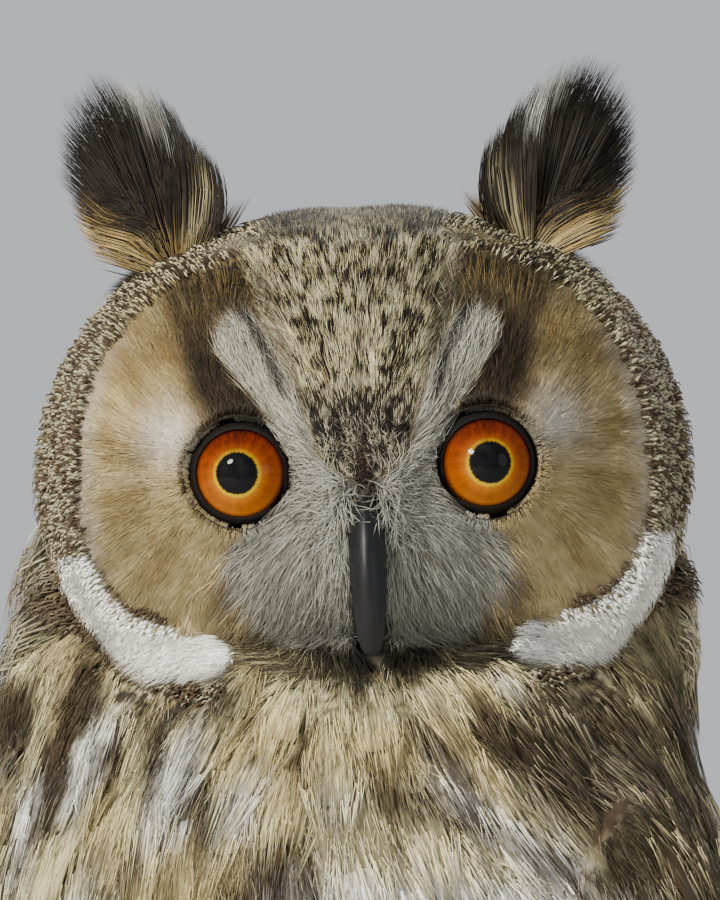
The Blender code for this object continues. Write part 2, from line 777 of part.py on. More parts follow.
def wing_feathers(side):
    """The tiers, from the flight feathers up to the small coverts and the scapulars."""
    feathers = []
    for count, start, start_step, tip, tip_step, lifts, width in WING_TIERS:
        order = np.arange(count)[:, None]
        starts = np.array(start) + order * np.array(start_step)
        tips = np.array(tip) + order * np.array(tip_step)
        feathers += wing_tier(side, starts, tips, lifts, width)
    order = np.arange(len(PRIMARY_TIPS))
    starts = np.stack([0.1 + 0.14 * order, np.full(len(order), 26.0)], axis=-1)
    tips = np.stack([0.18 + 0.13 * order, PRIMARY_TIPS], axis=-1)
    stations = (0.0, 0.35, 0.7, 0.92, 1.0)
    return feathers + wing_tier(side, starts, tips, (0.9, 1.3), PRIMARY_WIDTH, stations, shaft=True)


def make_wing(name, side, torso, neck, look):
    core = make_wing_core(name, side, look)
    fuse(core, wing_feathers(side))
    return carve(core, torso, neck)


# Tail


def make_tail(torso, look):
    rings = []
    for height, half_width, half_depth in TAIL_CORE:
        centre = (0.0, tail_depth(height), height)
        rings.append(over_perch(ring_round(centre, (half_width, half_depth), 16)))
    core = loft("tail", rings, look)
    feathers = []
    for k, (x_tip, z_tip) in enumerate(TAIL_TIPS):
        for side in (1, -1):
            path, out = [], []
            for share in (0.0, 0.45, 0.88, 1.0):
                height = 34.0 + (z_tip - 34.0) * share
                x = (1.5 + 0.8 * k) + (x_tip - 1.5 - 0.8 * k) * share**0.8
                y = tail_depth(height) - (0.25 + 0.85 * share) * k - 0.25 * (1 - side) * (1 - 0.2 * k)
                path.append((side * x, y, height))
                out.append((side * 0.03 * (k + 1), 1.0, 0.05))
            widths = np.array((0.45, 1.0, 0.95, 0.35)) * TAIL_WIDTH
            feathers.append(vane("feather", over_perch(path), turned(out, BODY_TURN), widths))
    fuse(core, feathers)
    return carve(core, torso)


# Legs and feet


def make_leg(name, side, torso, look):
    rings = []
    for height, radius in LEG_TABLE:
        lean = (height - 9.5) * 0.12
        rings.append(over_perch(ring_round((side * LEG_SPREAD, lean, height), (radius, radius * 1.1), 18)))
    return carve(loft(name, rings, look), torso)


def round_perch(x, degrees, radius):
    """A place at a radius round the perch's axis. 0 degrees is its front and 90 its top."""
    swing = math.radians(degrees)
    return np.array((x, -radius * math.cos(swing), radius * math.sin(swing) - PERCH_RADIUS))


def make_foot(label, side, look, look_claw):
    """The feathered foot, with two toes in front of the perch and two behind, and their claws."""
    rings = []
    for height, radius in FOOT_TABLE:
        rings.append(over_perch(ring_round((side * LEG_SPREAD, 0.0, height), (radius, radius * 1.15), 14)))
    foot = loft("foot_" + label, rings, look)
    toes, claws = [], []
    for toe, x_root, x_tip, first, last in TOES:
        path, radii = [], []
        for share in np.linspace(0, 1, 6):
            radius = TOE_RADIUS + (TOE_TIP_RADIUS - TOE_RADIUS) * share
            x = side * (LEG_SPREAD + x_root + (x_tip - x_root) * share)
            path.append(round_perch(x, first + (last - first) * share, PERCH_RADIUS + FOOT_GAP + radius))
            radii.append(radius)
        toes.append(tube("toe", over_perch(path), radii, 8))
        way = math.copysign(1.0, last - first)
        gap_degrees = math.degrees((GAP + 0.1) / (PERCH_RADIUS + TOE_TIP_RADIUS))
        path, radii = [], []
        for share in (0.0, 0.25, 0.5, 0.75, 1.0):
            degrees = last + way * (gap_degrees + CLAW_SWEEP * share)
            reach = PERCH_RADIUS + FOOT_GAP + TOE_TIP_RADIUS + 1.2 * math.sin(math.pi * share) - 1.6 * share
            x = side * (LEG_SPREAD + x_tip + 0.6 * share * (x_tip - x_root))
            path.append(round_perch(x, degrees, reach))
            radii.append(CLAW_RADIUS * (1 - share) ** 0.75 + 0.18)
        claws.append(tube("claw_" + label + "_" + toe, over_perch(path), radii, 8, look_claw))
    fuse(foot, toes)
    return foot, claws


def main():
    clear_scene()
    coat = material("feathers_buff", (0.42, 0.33, 0.22), 0.85)
    wing_look = material("feathers_dark", (0.2, 0.15, 0.11), 0.8)
    tuft_look = material("feathers_tuft", (0.07, 0.05, 0.04), 0.85)
    face_look = material("feathers_face", (0.5, 0.4, 0.28), 0.9)
    horn = material("horn", (0.02, 0.022, 0.028), 0.35)
    iris = material("eye_amber", (0.85, 0.28, 0.02), 0.08)
    bark = material("bark", (0.2, 0.16, 0.13), 0.95)
    wood = material("dark_wood", (0.09, 0.05, 0.03), 0.4)
    steel = material("steel", (0.55, 0.55, 0.56), 0.3, 1.0)

    perch = make_perch(bark)
    base, rods = make_stand(wood, steel)
    for rod in rods:
        carve(rod, perch)
    torso, neck = make_torso_and_neck(coat)
    head = make_head(face_look)
    head_form, neck_form = whole_form(head), whole_form(neck)
    carve(neck, head_form)
    add_eyes(head, iris)
    for made in make_bill(head_form, horn):
        carve(made, neck_form)
    make_tuft("ear_tuft_left", 1, head_form, tuft_look)
    make_tuft("ear_tuft_right", -1, head_form, tuft_look)
    make_wing("wing_left", 1, torso, neck_form, wing_look)
    make_wing("wing_right", -1, torso, neck_form, wing_look)
    make_tail(torso, wing_look)
    for label, side in (("left", 1), ("right", -1)):
        make_leg("leg_" + label, side, torso, coat)
        make_foot(label, side, coat, horn)
    for form in (head_form, neck_form):
        bpy.data.objects.remove(form)
    for made in bpy.context.scene.objects:
        in_triangles(made)


main()
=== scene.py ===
import math
import bmesh
import bpy
import numpy as np
from mathutils import Matrix, Vector
from mathutils.bvhtree import BVHTree
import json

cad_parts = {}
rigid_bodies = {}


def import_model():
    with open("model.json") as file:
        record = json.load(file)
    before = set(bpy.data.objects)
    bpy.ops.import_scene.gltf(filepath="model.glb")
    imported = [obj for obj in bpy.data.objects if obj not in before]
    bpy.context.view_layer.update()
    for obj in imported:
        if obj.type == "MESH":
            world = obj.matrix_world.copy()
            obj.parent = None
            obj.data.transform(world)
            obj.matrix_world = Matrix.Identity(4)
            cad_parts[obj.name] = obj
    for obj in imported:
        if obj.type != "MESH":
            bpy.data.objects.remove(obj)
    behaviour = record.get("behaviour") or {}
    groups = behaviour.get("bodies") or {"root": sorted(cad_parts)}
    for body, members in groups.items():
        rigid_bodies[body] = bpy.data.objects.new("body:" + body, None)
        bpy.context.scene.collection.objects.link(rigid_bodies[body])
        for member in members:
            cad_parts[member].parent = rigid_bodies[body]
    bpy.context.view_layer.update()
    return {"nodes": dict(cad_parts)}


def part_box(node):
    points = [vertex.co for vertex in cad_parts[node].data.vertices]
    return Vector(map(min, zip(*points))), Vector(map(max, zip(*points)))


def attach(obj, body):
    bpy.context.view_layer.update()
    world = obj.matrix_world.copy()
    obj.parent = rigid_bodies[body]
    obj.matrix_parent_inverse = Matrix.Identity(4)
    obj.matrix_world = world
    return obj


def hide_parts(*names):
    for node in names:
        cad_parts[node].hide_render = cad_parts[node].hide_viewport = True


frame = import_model()
chance = np.random.default_rng(11)
print("frame loaded")

# Where the owl sits, in millimetres, as in the solids
pose = {
    "perchTop": 126.0, "bodyTurn": math.radians(-30.0), "head": (4.0, -7.0, 329.0),
    "headRoll": math.radians(2.5), "eyeSpread": 20.0, "eyeRadius": 10.5, "eyeOpening": 7.6,
    "eyeTurn": math.radians(9.0), "lidDepth": -36.4, "perchRadius": 13.0,
}


def linear(*rgb):  # a colour as it looks on screen, turned into the light it gives
    rgb = np.asarray(rgb, float)
    return np.where(rgb <= 0.04045, rgb / 12.92, ((rgb + 0.055) / 1.055) ** 2.4)


def smooth(low, high, x):
    t = np.clip((np.asarray(x, float) - low) / (high - low), 0, 1)
    return t * t * (3 - 2 * t)


def mix(a, b, share):
    share = np.asarray(share, float)[..., None]
    return a * (1 - share) + b * share


def unit(v):
    return v / np.maximum(np.linalg.norm(v, axis=-1, keepdims=True), 1e-9)


def through(table):  # a smooth curve through the rows of a table
    rows = np.array(sorted(table), float)
    x, y = rows[:, 0], rows[:, 1:]
    slope = np.diff(y, axis=0) / np.diff(x)[:, None]
    sameWay = slope[:-1] * slope[1:] > 0
    total = np.where(sameWay, slope[:-1] + slope[1:], 1.0)
    inner = np.where(sameWay, 2 * slope[:-1] * slope[1:] / total, 0.0)
    tangent = np.vstack([slope[:1], inner, slope[-1:]])

    def value(at):
        at = np.clip(np.asarray(at, float), x[0], x[-1])
        i = np.clip(np.searchsorted(x, at, side="right") - 1, 0, len(x) - 2)
        step = (x[i + 1] - x[i])[..., None]
        t = ((at - x[i]) / (x[i + 1] - x[i]))[..., None]
        return ((2 * t**3 - 3 * t**2 + 1) * y[i] + (t**3 - 2 * t**2 + t) * step * tangent[i]
                + (3 * t**2 - 2 * t**3) * y[i + 1] + (t**3 - t**2) * step * tangent[i + 1])
    return value


def turned(points, angle):
    points = np.asarray(points, float)
    c, s = math.cos(angle), math.sin(angle)
    return np.stack([c * points[..., 0] - s * points[..., 1],
                     s * points[..., 0] + c * points[..., 1], points[..., 2]], axis=-1)


def overPerch(points):  # from the body's frame to the model's
    return turned(points, pose["bodyTurn"]) + (0, 0, pose["perchTop"])


def toBody(points):
    return turned(np.asarray(points, float) - (0, 0, pose["perchTop"]), -pose["bodyTurn"])


def rolled(v, angle):
    c, s = math.cos(angle), math.sin(angle)
    return np.stack([c * v[..., 0] - s * v[..., 2], v[..., 1], s * v[..., 0] + c * v[..., 2]], axis=-1)


def fromHead(points):
    return rolled(np.asarray(points, float), pose["headRoll"]) + pose["head"]


def toHead(points):
    return rolled(np.asarray(points, float) - pose["head"], -pose["headRoll"])


headRim = through(((0, 37.0), (30, 42.0), (50, 46.0), (70, 48.6), (90, 48.8), (110, 50.0), (125, 50.0),
                   (140, 46.5), (155, 39.0), (180, 32.5)))


def faceShare(h):  # 0 in the middle of the face, 1 at the rim of its disc, and the angle from its top
    fromTop = np.degrees(np.abs(np.arctan2(h[..., 0], h[..., 2])))
    return np.hypot(h[..., 0], h[..., 2]) / headRim(fromTop)[..., 0], fromTop


def lineDistance(x, z, line):  # distance to a bent line, and how far along it
    line = np.asarray(line, float)
    best, along = np.full(np.shape(x), 1e9), np.zeros(np.shape(x))
    for k in range(len(line) - 1):
        start, step = line[k], line[k + 1] - line[k]
        t = np.clip(((x - start[0]) * step[0] + (z - start[1]) * step[1]) / step.dot(step), 0, 1)
        gap = np.hypot(x - start[0] - t * step[0], z - start[1] - t * step[1])
        along = np.where(gap < best, (k + t) / (len(line) - 1), along)
        best = np.minimum(best, gap)
    return best, along


def outlineGap(x, z, outline):  # distance to a closed outline, below 0 inside it
    line = np.array(list(outline) + [outline[0]], float)
    gap, _ = lineDistance(x, z, line)
    inside = np.zeros(np.shape(x), bool)
    for (ax, az), (bx, bz) in zip(line[:-1], line[1:]):
        if az != bz:
            inside ^= ((az > z) != (bz > z)) & (x < ax + (z - az) * (bx - ax) / (bz - az))
    return np.where(inside, -gap, gap)


def patchNoise(a, b, seed=0.0):  # soft patches from -1 to 1, about 1 across
    i, j = np.floor(a), np.floor(b)
    u, v = a - i, b - j
    u, v = u * u * (3 - 2 * u), v * v * (3 - 2 * v)
    spot = lambda di, dj: np.modf(np.abs(np.sin((i + di) * 127.1 + (j + dj) * 311.7 + seed * 17.3) * 43758.5453))[0]
    low = spot(0, 0) * (1 - u) + spot(1, 0) * u
    high = spot(0, 1) * (1 - u) + spot(1, 1) * u
    return 2 * (low * (1 - v) + high * v) - 1


# Markings of the face, in millimetres from the point between the eyes, for the head's right half
faceMarks = {
    "mask": ((0, -3.2), (4.1, -0.8), (7.6, 2.8), (8.2, 6.3), (10.1, 12.5), (13.6, 19.5), (15.2, 23.4), (18, 24.6),
             (21.5, 22.8), (22.9, 19.8), (18.6, 13.8), (13.9, 6.8), (11.9, 1.6), (11.7, -2), (13.2, -6.6), (17.6, -8.4),
             (22.3, -11.6), (22.0, -15), (20.6, -18.5), (17.4, -22.7), (10.8, -27.2), (5, -29.7), (0, -30)),
    "dark": ((11.7, -3), (11.9, 1.6), (13.9, 6.8), (18.6, 13.8), (22.9, 19.8), (21.5, 23.0), (18, 25), (15.2, 24),
             (12.5, 24), (13.5, 31), (18, 37), (26, 38), (30, 32), (29.5, 25), (27.5, 18), (26, 12.5), (24.5, 9.6),
             (20, 8.8), (14, 6.5), (11.5, 1)),
    "slit": ((17.5, 24.6), (14.4, 18.0), (11.2, 11.0)), "slitWidth": 1.35,
    "band": ((15.0, 31.0), (13.0, 23.5), (11.0, 15.5), (9.6, 9.0)), "bandWidth": 1.5,
    "crescent": ((49.6, -13), (49.4, -18), (46.5, -23), (43.3, -27.2), (40, -30.8), (36, -33.2), (31, -33.8), (26, -33),
                 (21.2, -31.6), (21.8, -26.6), (24, -26), (29, -25.6), (35, -24.4), (39.4, -22.6), (43, -18.6), (45.6, -13)),
    "spot": (17.5, -20.5, 5.0), "pale": (31.0, 6.0, 4.6),
}
tones = {
    "disc": linear(0.71, 0.62, 0.41), "discPale": linear(0.90, 0.85, 0.68), "discDeep": linear(0.42, 0.32, 0.15),
    "white": linear(0.96, 0.96, 0.94), "grey": linear(0.64, 0.64, 0.60), "dark": linear(0.12, 0.09, 0.07),
    "black": linear(0.06, 0.045, 0.04), "brown": linear(0.34, 0.27, 0.185), "buff": linear(0.76, 0.655, 0.42), "taupe": linear(0.44, 0.405, 0.315),
    "cream": linear(0.88, 0.845, 0.66), "rust": linear(0.42, 0.25, 0.13), "leg": linear(0.86, 0.74, 0.53),
    "wing": linear(0.34, 0.27, 0.20), "wingPale": linear(0.76, 0.70, 0.60), "gold": linear(0.66, 0.53, 0.27),
    "streak": linear(0.25, 0.195, 0.14),
}


def faceZones(h):  # how much of each marking a place on the face has
    x, z = np.abs(h[..., 0]), h[..., 2]
    share, fromTop = faceShare(h)
    m = faceMarks
    mask = smooth(0.7, -0.5, outlineGap(x, z, m["mask"]))
    dark = outlineGap(x, z, m["dark"])
    slit = smooth(m["slitWidth"], 0.2, lineDistance(x, z, m["slit"])[0])
    band = smooth(m["bandWidth"], m["bandWidth"] * 0.4, lineDistance(x, z, m["band"])[0])
    crescent = smooth(0.6, -0.5, outlineGap(x, z, m["crescent"]))
    wedgeEdge = np.interp(z, (-4, -0.8, 2.8, 6.3, 12.5, 20, 30, 45), (1.5, 4.1, 7.8, 8.3, 10.9, 13.4, 15.0, 20.0))
    wedge = smooth(2.4, 0.8, x - wedgeEdge) * smooth(-5, -3, z)
    eye = np.hypot(x - pose["eyeSpread"], z)
    brow = mask * smooth(-4.0, 0.0, z)
    return {"share": share, "fromTop": fromTop, "mask": mask, "brow": brow, "fan": mask * (1 - brow / 1.0),
            "dark": smooth(3.6, -1.2, dark) * (1 - mask) * (1 - 0.9 * band), "slit": slit, "band": band,
            "crescent": crescent, "wedge": wedge * (1 - mask) * (1 - slit), "eye": eye, "x": x, "z": z}


def faceTone(h, luck):  # the face's colour, with luck from 0 to 1 for each feather
    f, t = faceZones(h), tones
    x, z, share, fromTop = f["x"], f["z"], f["share"], f["fromTop"]
    around = np.arctan2(z, x - pose["eyeSpread"])
    wave = (patchNoise(x * 0.45, z * 0.45, 3) * 0.45 + patchNoise(x * 1.1, z * 1.1, 5) * 0.3
            + patchNoise(around * 14, f["eye"] * 0.10, 7) * 0.45)
    tone = np.broadcast_to(t["disc"], x.shape + (3,)).copy()
    tone = mix(tone, t["discPale"], np.clip(0.25 + 0.45 * wave + 0.35 * smooth(4, -20, z), 0, 1) * (luck * 0.5 + 0.5))
    tone = mix(tone, t["discDeep"], np.clip(0.45 * smooth(0.62, 1, luck) - 0.35 * wave, 0, 1))
    tone = mix(tone, t["discDeep"], 0.45 * smooth(8, 24, z) * (1 - smooth(0.82, 0.95, share)))
    fringe = smooth(0.84, 0.92, share) * smooth(52, 75, fromTop) * smooth(122, 108, fromTop)
    tone = mix(tone, t["white"], 0.55 * fringe * (0.4 + 0.6 * luck))
    flecked = smooth(0.87, 0.91, share) * smooth(96, 104, fromTop) * smooth(134, 124, fromTop)
    tone = mix(tone, t["brown"], flecked * (patchNoise(x * 0.55, z * 0.55, 9) > 0.05) * 0.8)
    spotX, spotZ, spotSize = faceMarks["spot"]
    tone = mix(tone, t["discDeep"], 0.55 * np.exp(-((x - spotX) ** 2 + (z - spotZ) ** 2) / spotSize**2))
    spot = smooth(2.2, 0.8, np.hypot(x - 22.2, (z + 18.5) * 0.6))
    tone = mix(tone, t["rust"] * 0.5, spot * 0.8)
    paleX, paleZ, paleSize = faceMarks["pale"]
    tone = mix(tone, t["white"], 0.6 * np.exp(-((x - paleX) ** 2 + (z - paleZ) ** 2) / paleSize**2))
    top = smooth(22, 30, z) * smooth(0.99, 0.93, share)
    fleck = mix(t["dark"], t["buff"], (luck > 0.72) * 0.8)
    tone = mix(tone, mix(tone, fleck, 0.9), top * smooth(40, 28, x))
    tone = mix(tone, mix(t["black"], t["brown"], luck**3 * 0.8), f["dark"] * (0.97 - 0.8 * smooth(17, 31, z) * (0.35 + 0.65 * luck)))
    chin = smooth(-23.6, -26.0, z) * smooth(29, 24, x) * (1 - f["mask"])
    chinTone = mix(t["dark"] * 0.7, mix(t["brown"], t["cream"], luck), 0.75 * smooth(0.55, 0.95, luck))
    # painted shadow: the chin is black in the middle, under the bill, and turns to the chin's own tone further out
    tone = mix(tone, mix(t["black"] * 0.5, chinTone, smooth(3, 12, x)), chin * 0.95)
    tone = mix(tone, mix(t["grey"], t["white"], smooth(0, 0.3, luck)), f["crescent"] * 0.97)
    fleck = (luck < 0.10) * 0.75
    grey = mix(mix(t["grey"] * 0.75, t["grey"] * 1.35, luck), t["brown"], fleck)
    grey = mix(grey, mix(t["cream"], t["white"], 0.5) * 0.8, 0.45 * smooth(-2, 6, z) * (0.3 + 0.7 * luck))
    # painted shade: the mask's grey darkens low down towards the bill and chin
    grey = grey * (1 - 0.45 * smooth(-12, -27, z) * smooth(22, 8, x))[..., None]
    tone = mix(tone, grey, f["mask"])
    line = smooth(1.5, 0.3, np.abs(outlineGap(x, z, faceMarks["mask"]) - 0.7)) * smooth(-21.5, -24, z)
    tone = mix(tone, t["black"], line * 0.9)
    patch = patchNoise(x * 0.9, z * 0.7, 13) * 0.55 + (luck - 0.5) * 1.1
    low = smooth(17, 6, z)
    pale = mix(mix(t["grey"] * 1.25, t["cream"] * 1.1, luck), mix(t["rust"], t["grey"] * 0.7, luck), low * 0.75)
    speck = mix(pale, t["dark"] * 0.7, smooth(0.20, -0.06, patch - 0.22 * low))
    speck = mix(speck, t["buff"] * 0.8, 0.6 * (np.abs(patch - 0.14) < 0.09) * (1 - low))
    speck = mix(speck, t["dark"], smooth(1.6, 0.2, x) * 0.4 * smooth(30, 20, z))
    tone = mix(tone, speck, f["wedge"])
    streaks = mix(mix(t["cream"], t["grey"], 0.5) * 0.85, mix(t["rust"] * 0.8, t["dark"], luck), smooth(0.30, 0.42, luck))
    tone = mix(tone, streaks, f["band"] * (1 - f["mask"]) * 0.85)
    tone = mix(tone, t["black"], f["slit"] * 0.9)
    centre = smooth(2.0, 0.6, x - 0.10 * np.clip(-2 - z, 0, 20) + (luck - 0.5)) * smooth(7, 1, z)
    tone = mix(tone, mix(t["black"], t["rust"], 0.25 * luck * smooth(-14, -4, z)), centre * 0.95)
    # painted shade: the face darkens towards black round each eye socket, more under the brow and towards the inner
    # corner
    tone = mix(tone, t["black"], smooth(11.6, 8.8, f["eye"]) * (0.45 + 0.35 * smooth(-3, 6, z)) * (1 - 0.6 * f["mask"]))
    return mix(tone, t["black"], smooth(9.2, 8.3, f["eye"]) * (0.5 + 0.45 * smooth(6, -6, x - 20)))


def rimTone(h, luck):  # the ring of beads round the disc, and the white crescent low on each side
    f, t = faceZones(h), tones
    share, fromTop, x, z = f["share"], f["fromTop"], f["x"], f["z"]
    bead = mix(mix(t["cream"], t["grey"], 0.4) * 0.6, mix(t["brown"], t["dark"], 0.25), smooth(0.6, 0.42, luck))
    inner = smooth(0.978, 0.955, share + (luck - 0.5) * 0.02)
    bead = mix(bead, t["dark"], inner * 0.6)
    outside = mix(mix(t["grey"] * 0.65, t["cream"] * 0.65, luck), t["brown"] * 0.8, (luck > 0.7) * 0.8)
    tone = mix(bead, outside, smooth(1.055, 1.085, share + (luck - 0.5) * 0.03))
    peppered = mix(mix(t["grey"], t["cream"], luck) * 0.8, mix(t["dark"], t["brown"], luck), luck < 0.55)
    tone = mix(tone, peppered, smooth(64, 48, fromTop))
    band = smooth(104, 112, fromTop) * smooth(24, 32, x) * smooth(0, 0.6, outlineGap(x, z, faceMarks["crescent"]))
    tone = mix(tone, mix(t["brown"], t["dark"], luck), band * (luck < 0.8) * 0.9)
    return mix(tone, mix(t["white"], t["grey"], 0.2 * luck), f["crescent"])


def crownTone(h, luck):
    t = tones
    patch = patchNoise(h[..., 0] * 0.7, h[..., 1] * 0.6 + h[..., 2] * 0.6, 71) * 0.55 + (luck - 0.5) * 1.1
    speck = mix(mix(t["grey"], t["cream"] * 0.9, luck), t["dark"], smooth(0.18, -0.12, patch))
    speck = mix(speck, t["buff"] * 0.7, 0.7 * (np.abs(patch - 0.14) < 0.10))
    behind = smooth(-5, 30, h[..., 1])
    return mix(speck, mix(t["buff"], t["brown"], 0.25 + 0.55 * luck), 0.6 * behind)


# The surface that the folded wings' feathers lie on: height, half width, middle and half depth,
# and the angles of the front and back edges
wingSection = through((
    (-94.0, 12.0, 46.0, 16.0, 58.0, 78.0), (-60.0, 21.0, 36.0, 26.0, 44.0, 79.0),
    (-30.0, 32.0, 25.0, 36.5, 32.0, 80.0), (0.0, 42.5, 15.0, 46.0, 20.0, 80.0),
    (26.0, 51.0, 7.0, 52.0, 8.0, 80.0), (42.0, 56.0, 2.0, 54.0, 0.0, 79.0),
    (65.0, 60.0, -2.0, 54.5, -10.0, 78.0), (95.0, 62.6, -3.5, 57.2, -22.0, 77.0),
    (125.0, 61.5, -3.5, 56.2, -26.0, 72.0), (142.0, 60.0, -3.3, 54.8, -18.0, 64.0),
    (152.0, 58.4, -3.2, 53.4, -4.0, 52.0), (158.0, 57.4, -3.2, 52.4, 12.0, 38.0)))
wingCore = through(((4.0, 1.3), (25.0, 2.4), (50.0, 3.8), (80.0, 5.4), (110.0, 6.2), (140.0, 4.6), (158.0, 1.4)))


def wingPlace(side, across, height, lift):
    row = wingSection(height)
    angle = np.radians(row[..., 3] + (row[..., 4] - row[..., 3]) * across)
    x, y = row[..., 0] * np.cos(angle), row[..., 2] * np.sin(angle)
    out = unit(np.stack([x / row[..., 0] ** 2, y / row[..., 2] ** 2, np.zeros_like(x)], axis=-1))
    point = np.stack([x, row[..., 1] + y, np.broadcast_to(height, x.shape)], axis=-1)
    point = point + out * (np.asarray(lift, float)[..., None] + 0.3)
    return overPerch(point * (side, 1, 1)), turned(out * (side, 1, 1), pose["bodyTurn"])


def clearSelection():
    if bpy.context.mode != "OBJECT":
        bpy.ops.object.mode_set(mode="OBJECT")
    bpy.ops.object.select_all(action="DESELECT")


def activate(obj):
    clearSelection()
    obj.select_set(True)
    bpy.context.view_layer.objects.active = obj
    return obj


def applyAll(obj):
    activate(obj)
    for modifier in list(obj.modifiers):
        bpy.ops.object.modifier_apply(modifier=modifier.name)
    return obj


def placesOf(obj):
    flat = np.empty(len(obj.data.vertices) * 3, np.float32)
    obj.data.vertices.foreach_get("co", flat)
    return flat.reshape(-1, 3).astype(float) * 1000


def normalsOf(obj):
    flat = np.empty(len(obj.data.vertices) * 3, np.float32)
    obj.data.vertex_normals.foreach_get("vector", flat)
    return flat.reshape(-1, 3).astype(float)


def movePoints(obj, places):
    obj.data.vertices.foreach_set("co", (places / 1000).astype(np.float32).ravel())
    obj.data.update()


def paint(obj, colours, name="tint"):
    layer = obj.data.attributes.new(name, "FLOAT_COLOR", "POINT")
    full = np.ones((len(colours), 4), np.float32)
    full[:, :3] = colours
    layer.data.foreach_set("color", full.ravel())


# Shader groups: each puts out colours, values or heights only


def newGroup(name, inputs, outputs):
    group = bpy.data.node_groups.new(name, "ShaderNodeTree")
    for label, kind, value in inputs:
        socket = group.interface.new_socket(label, in_out="INPUT", socket_type=kind)
        if value is not None:
            socket.default_value = value
    for label, kind in outputs:
        group.interface.new_socket(label, in_out="OUTPUT", socket_type=kind)
    start, end = group.nodes.new("NodeGroupInput"), group.nodes.new("NodeGroupOutput")
    return group, start, end


def node(tree, kind, inputs=None, **settings):
    made = tree.nodes.new(kind)
    for key, value in settings.items():
        setattr(made, key, value)
    for key, value in (inputs or {}).items():
        if isinstance(value, bpy.types.NodeSocket):
            tree.links.new(value, made.inputs[key])
        else:
            made.inputs[key].default_value = value
    return made


def mathNode(tree, operation, a, b=0.0, clamp=False):
    return node(tree, "ShaderNodeMath", {0: a, 1: b}, operation=operation, use_clamp=clamp).outputs[0]


def makeBarbGroup():  # fine slanting barbs of a feather, and its shaft, from the feather's own map
    group, start, end = newGroup(
        "featherBarbs",
        [("Count", "NodeSocketFloat", 60.0), ("Depth", "NodeSocketFloat", 0.2)],
        [("Shade", "NodeSocketFloat"), ("Height", "NodeSocketFloat")])
    own = node(group, "ShaderNodeUVMap", uv_map="vane")
    parts = node(group, "ShaderNodeSeparateXYZ", {0: own.outputs[0]})
    across = mathNode(group, "ABSOLUTE", mathNode(group, "SUBTRACT", parts.outputs[0], 0.5))
    slant = mathNode(group, "SUBTRACT", parts.outputs[1], mathNode(group, "MULTIPLY", across, 0.9))
    grain = node(group, "ShaderNodeTexNoise", {"Vector": node(group, "ShaderNodeTexCoord").outputs["Object"],
                                                "Scale": 900.0, "Detail": 2.0})
    wobble = mathNode(group, "MULTIPLY", grain.outputs[0], 0.06)
    wave = mathNode(group, "SINE", mathNode(group, "MULTIPLY", mathNode(group, "ADD", slant, wobble),
                                           mathNode(group, "MULTIPLY", start.outputs["Count"], 6.283)))
    half = mathNode(group, "MULTIPLY_ADD", wave, 0.5)
    half.node.inputs[2].default_value = 0.5
    shaft = mathNode(group, "LESS_THAN", across, 0.035)
    shade = mathNode(group, "SUBTRACT", 1.0, mathNode(group, "MULTIPLY", half, start.outputs["Depth"]))
    group.links.new(shade, end.inputs["Shade"])
    group.links.new(mathNode(group, "ADD", half, shaft), end.inputs["Height"])
    return group


def makeMottleGroup():  # uneven tone of a coat: broad patches and fine grain
    group, start, end = newGroup(
        "coatMottle",
        [("Colour", "NodeSocketColor", None), ("Patch", "NodeSocketFloat", 60.0),
         ("Grain", "NodeSocketFloat", 700.0), ("Strength", "NodeSocketFloat", 0.3)],
        [("Colour", "NodeSocketColor"), ("Grain", "NodeSocketFloat")])
    at = node(group, "ShaderNodeTexCoord").outputs["Object"]
    broad = node(group, "ShaderNodeTexNoise", {"Vector": at, "Scale": start.outputs["Patch"], "Detail": 3.0})
    fine = node(group, "ShaderNodeTexNoise", {"Vector": at, "Scale": start.outputs["Grain"], "Detail": 3.0})
    both = mathNode(group, "ADD", broad.outputs[0], fine.outputs[0])
    away = mathNode(group, "MULTIPLY", mathNode(group, "SUBTRACT", both, 1.0), start.outputs["Strength"])
    value = mathNode(group, "ADD", away, 1.0)
    toned = node(group, "ShaderNodeHueSaturation", {"Color": start.outputs["Colour"], "Value": value})
    group.links.new(toned.outputs[0], end.inputs["Colour"])
    group.links.new(fine.outputs[0], end.inputs["Grain"])
    return group


barbGroup, mottleGroup = makeBarbGroup(), makeMottleGroup()


def groupNode(tree, group, inputs=None):
    made = tree.nodes.new("ShaderNodeGroup")
    made.node_tree = group
    for key, value in (inputs or {}).items():
        if isinstance(value, bpy.types.NodeSocket):
            tree.links.new(value, made.inputs[key])
        else:
            made.inputs[key].default_value = value
    return made


def newMaterial(name, roughness=0.5, metallic=0.0, **plain):
    made = bpy.data.materials.new(name)
    made.use_nodes = True
    shader = made.node_tree.nodes["Principled BSDF"]
    shader.inputs["Roughness"].default_value = roughness
    shader.inputs["Metallic"].default_value = metallic
    for key, value in plain.items():
        shader.inputs[key].default_value = value
    return made, made.node_tree, shader


def link(tree, start, end):
    tree.links.new(start, end)


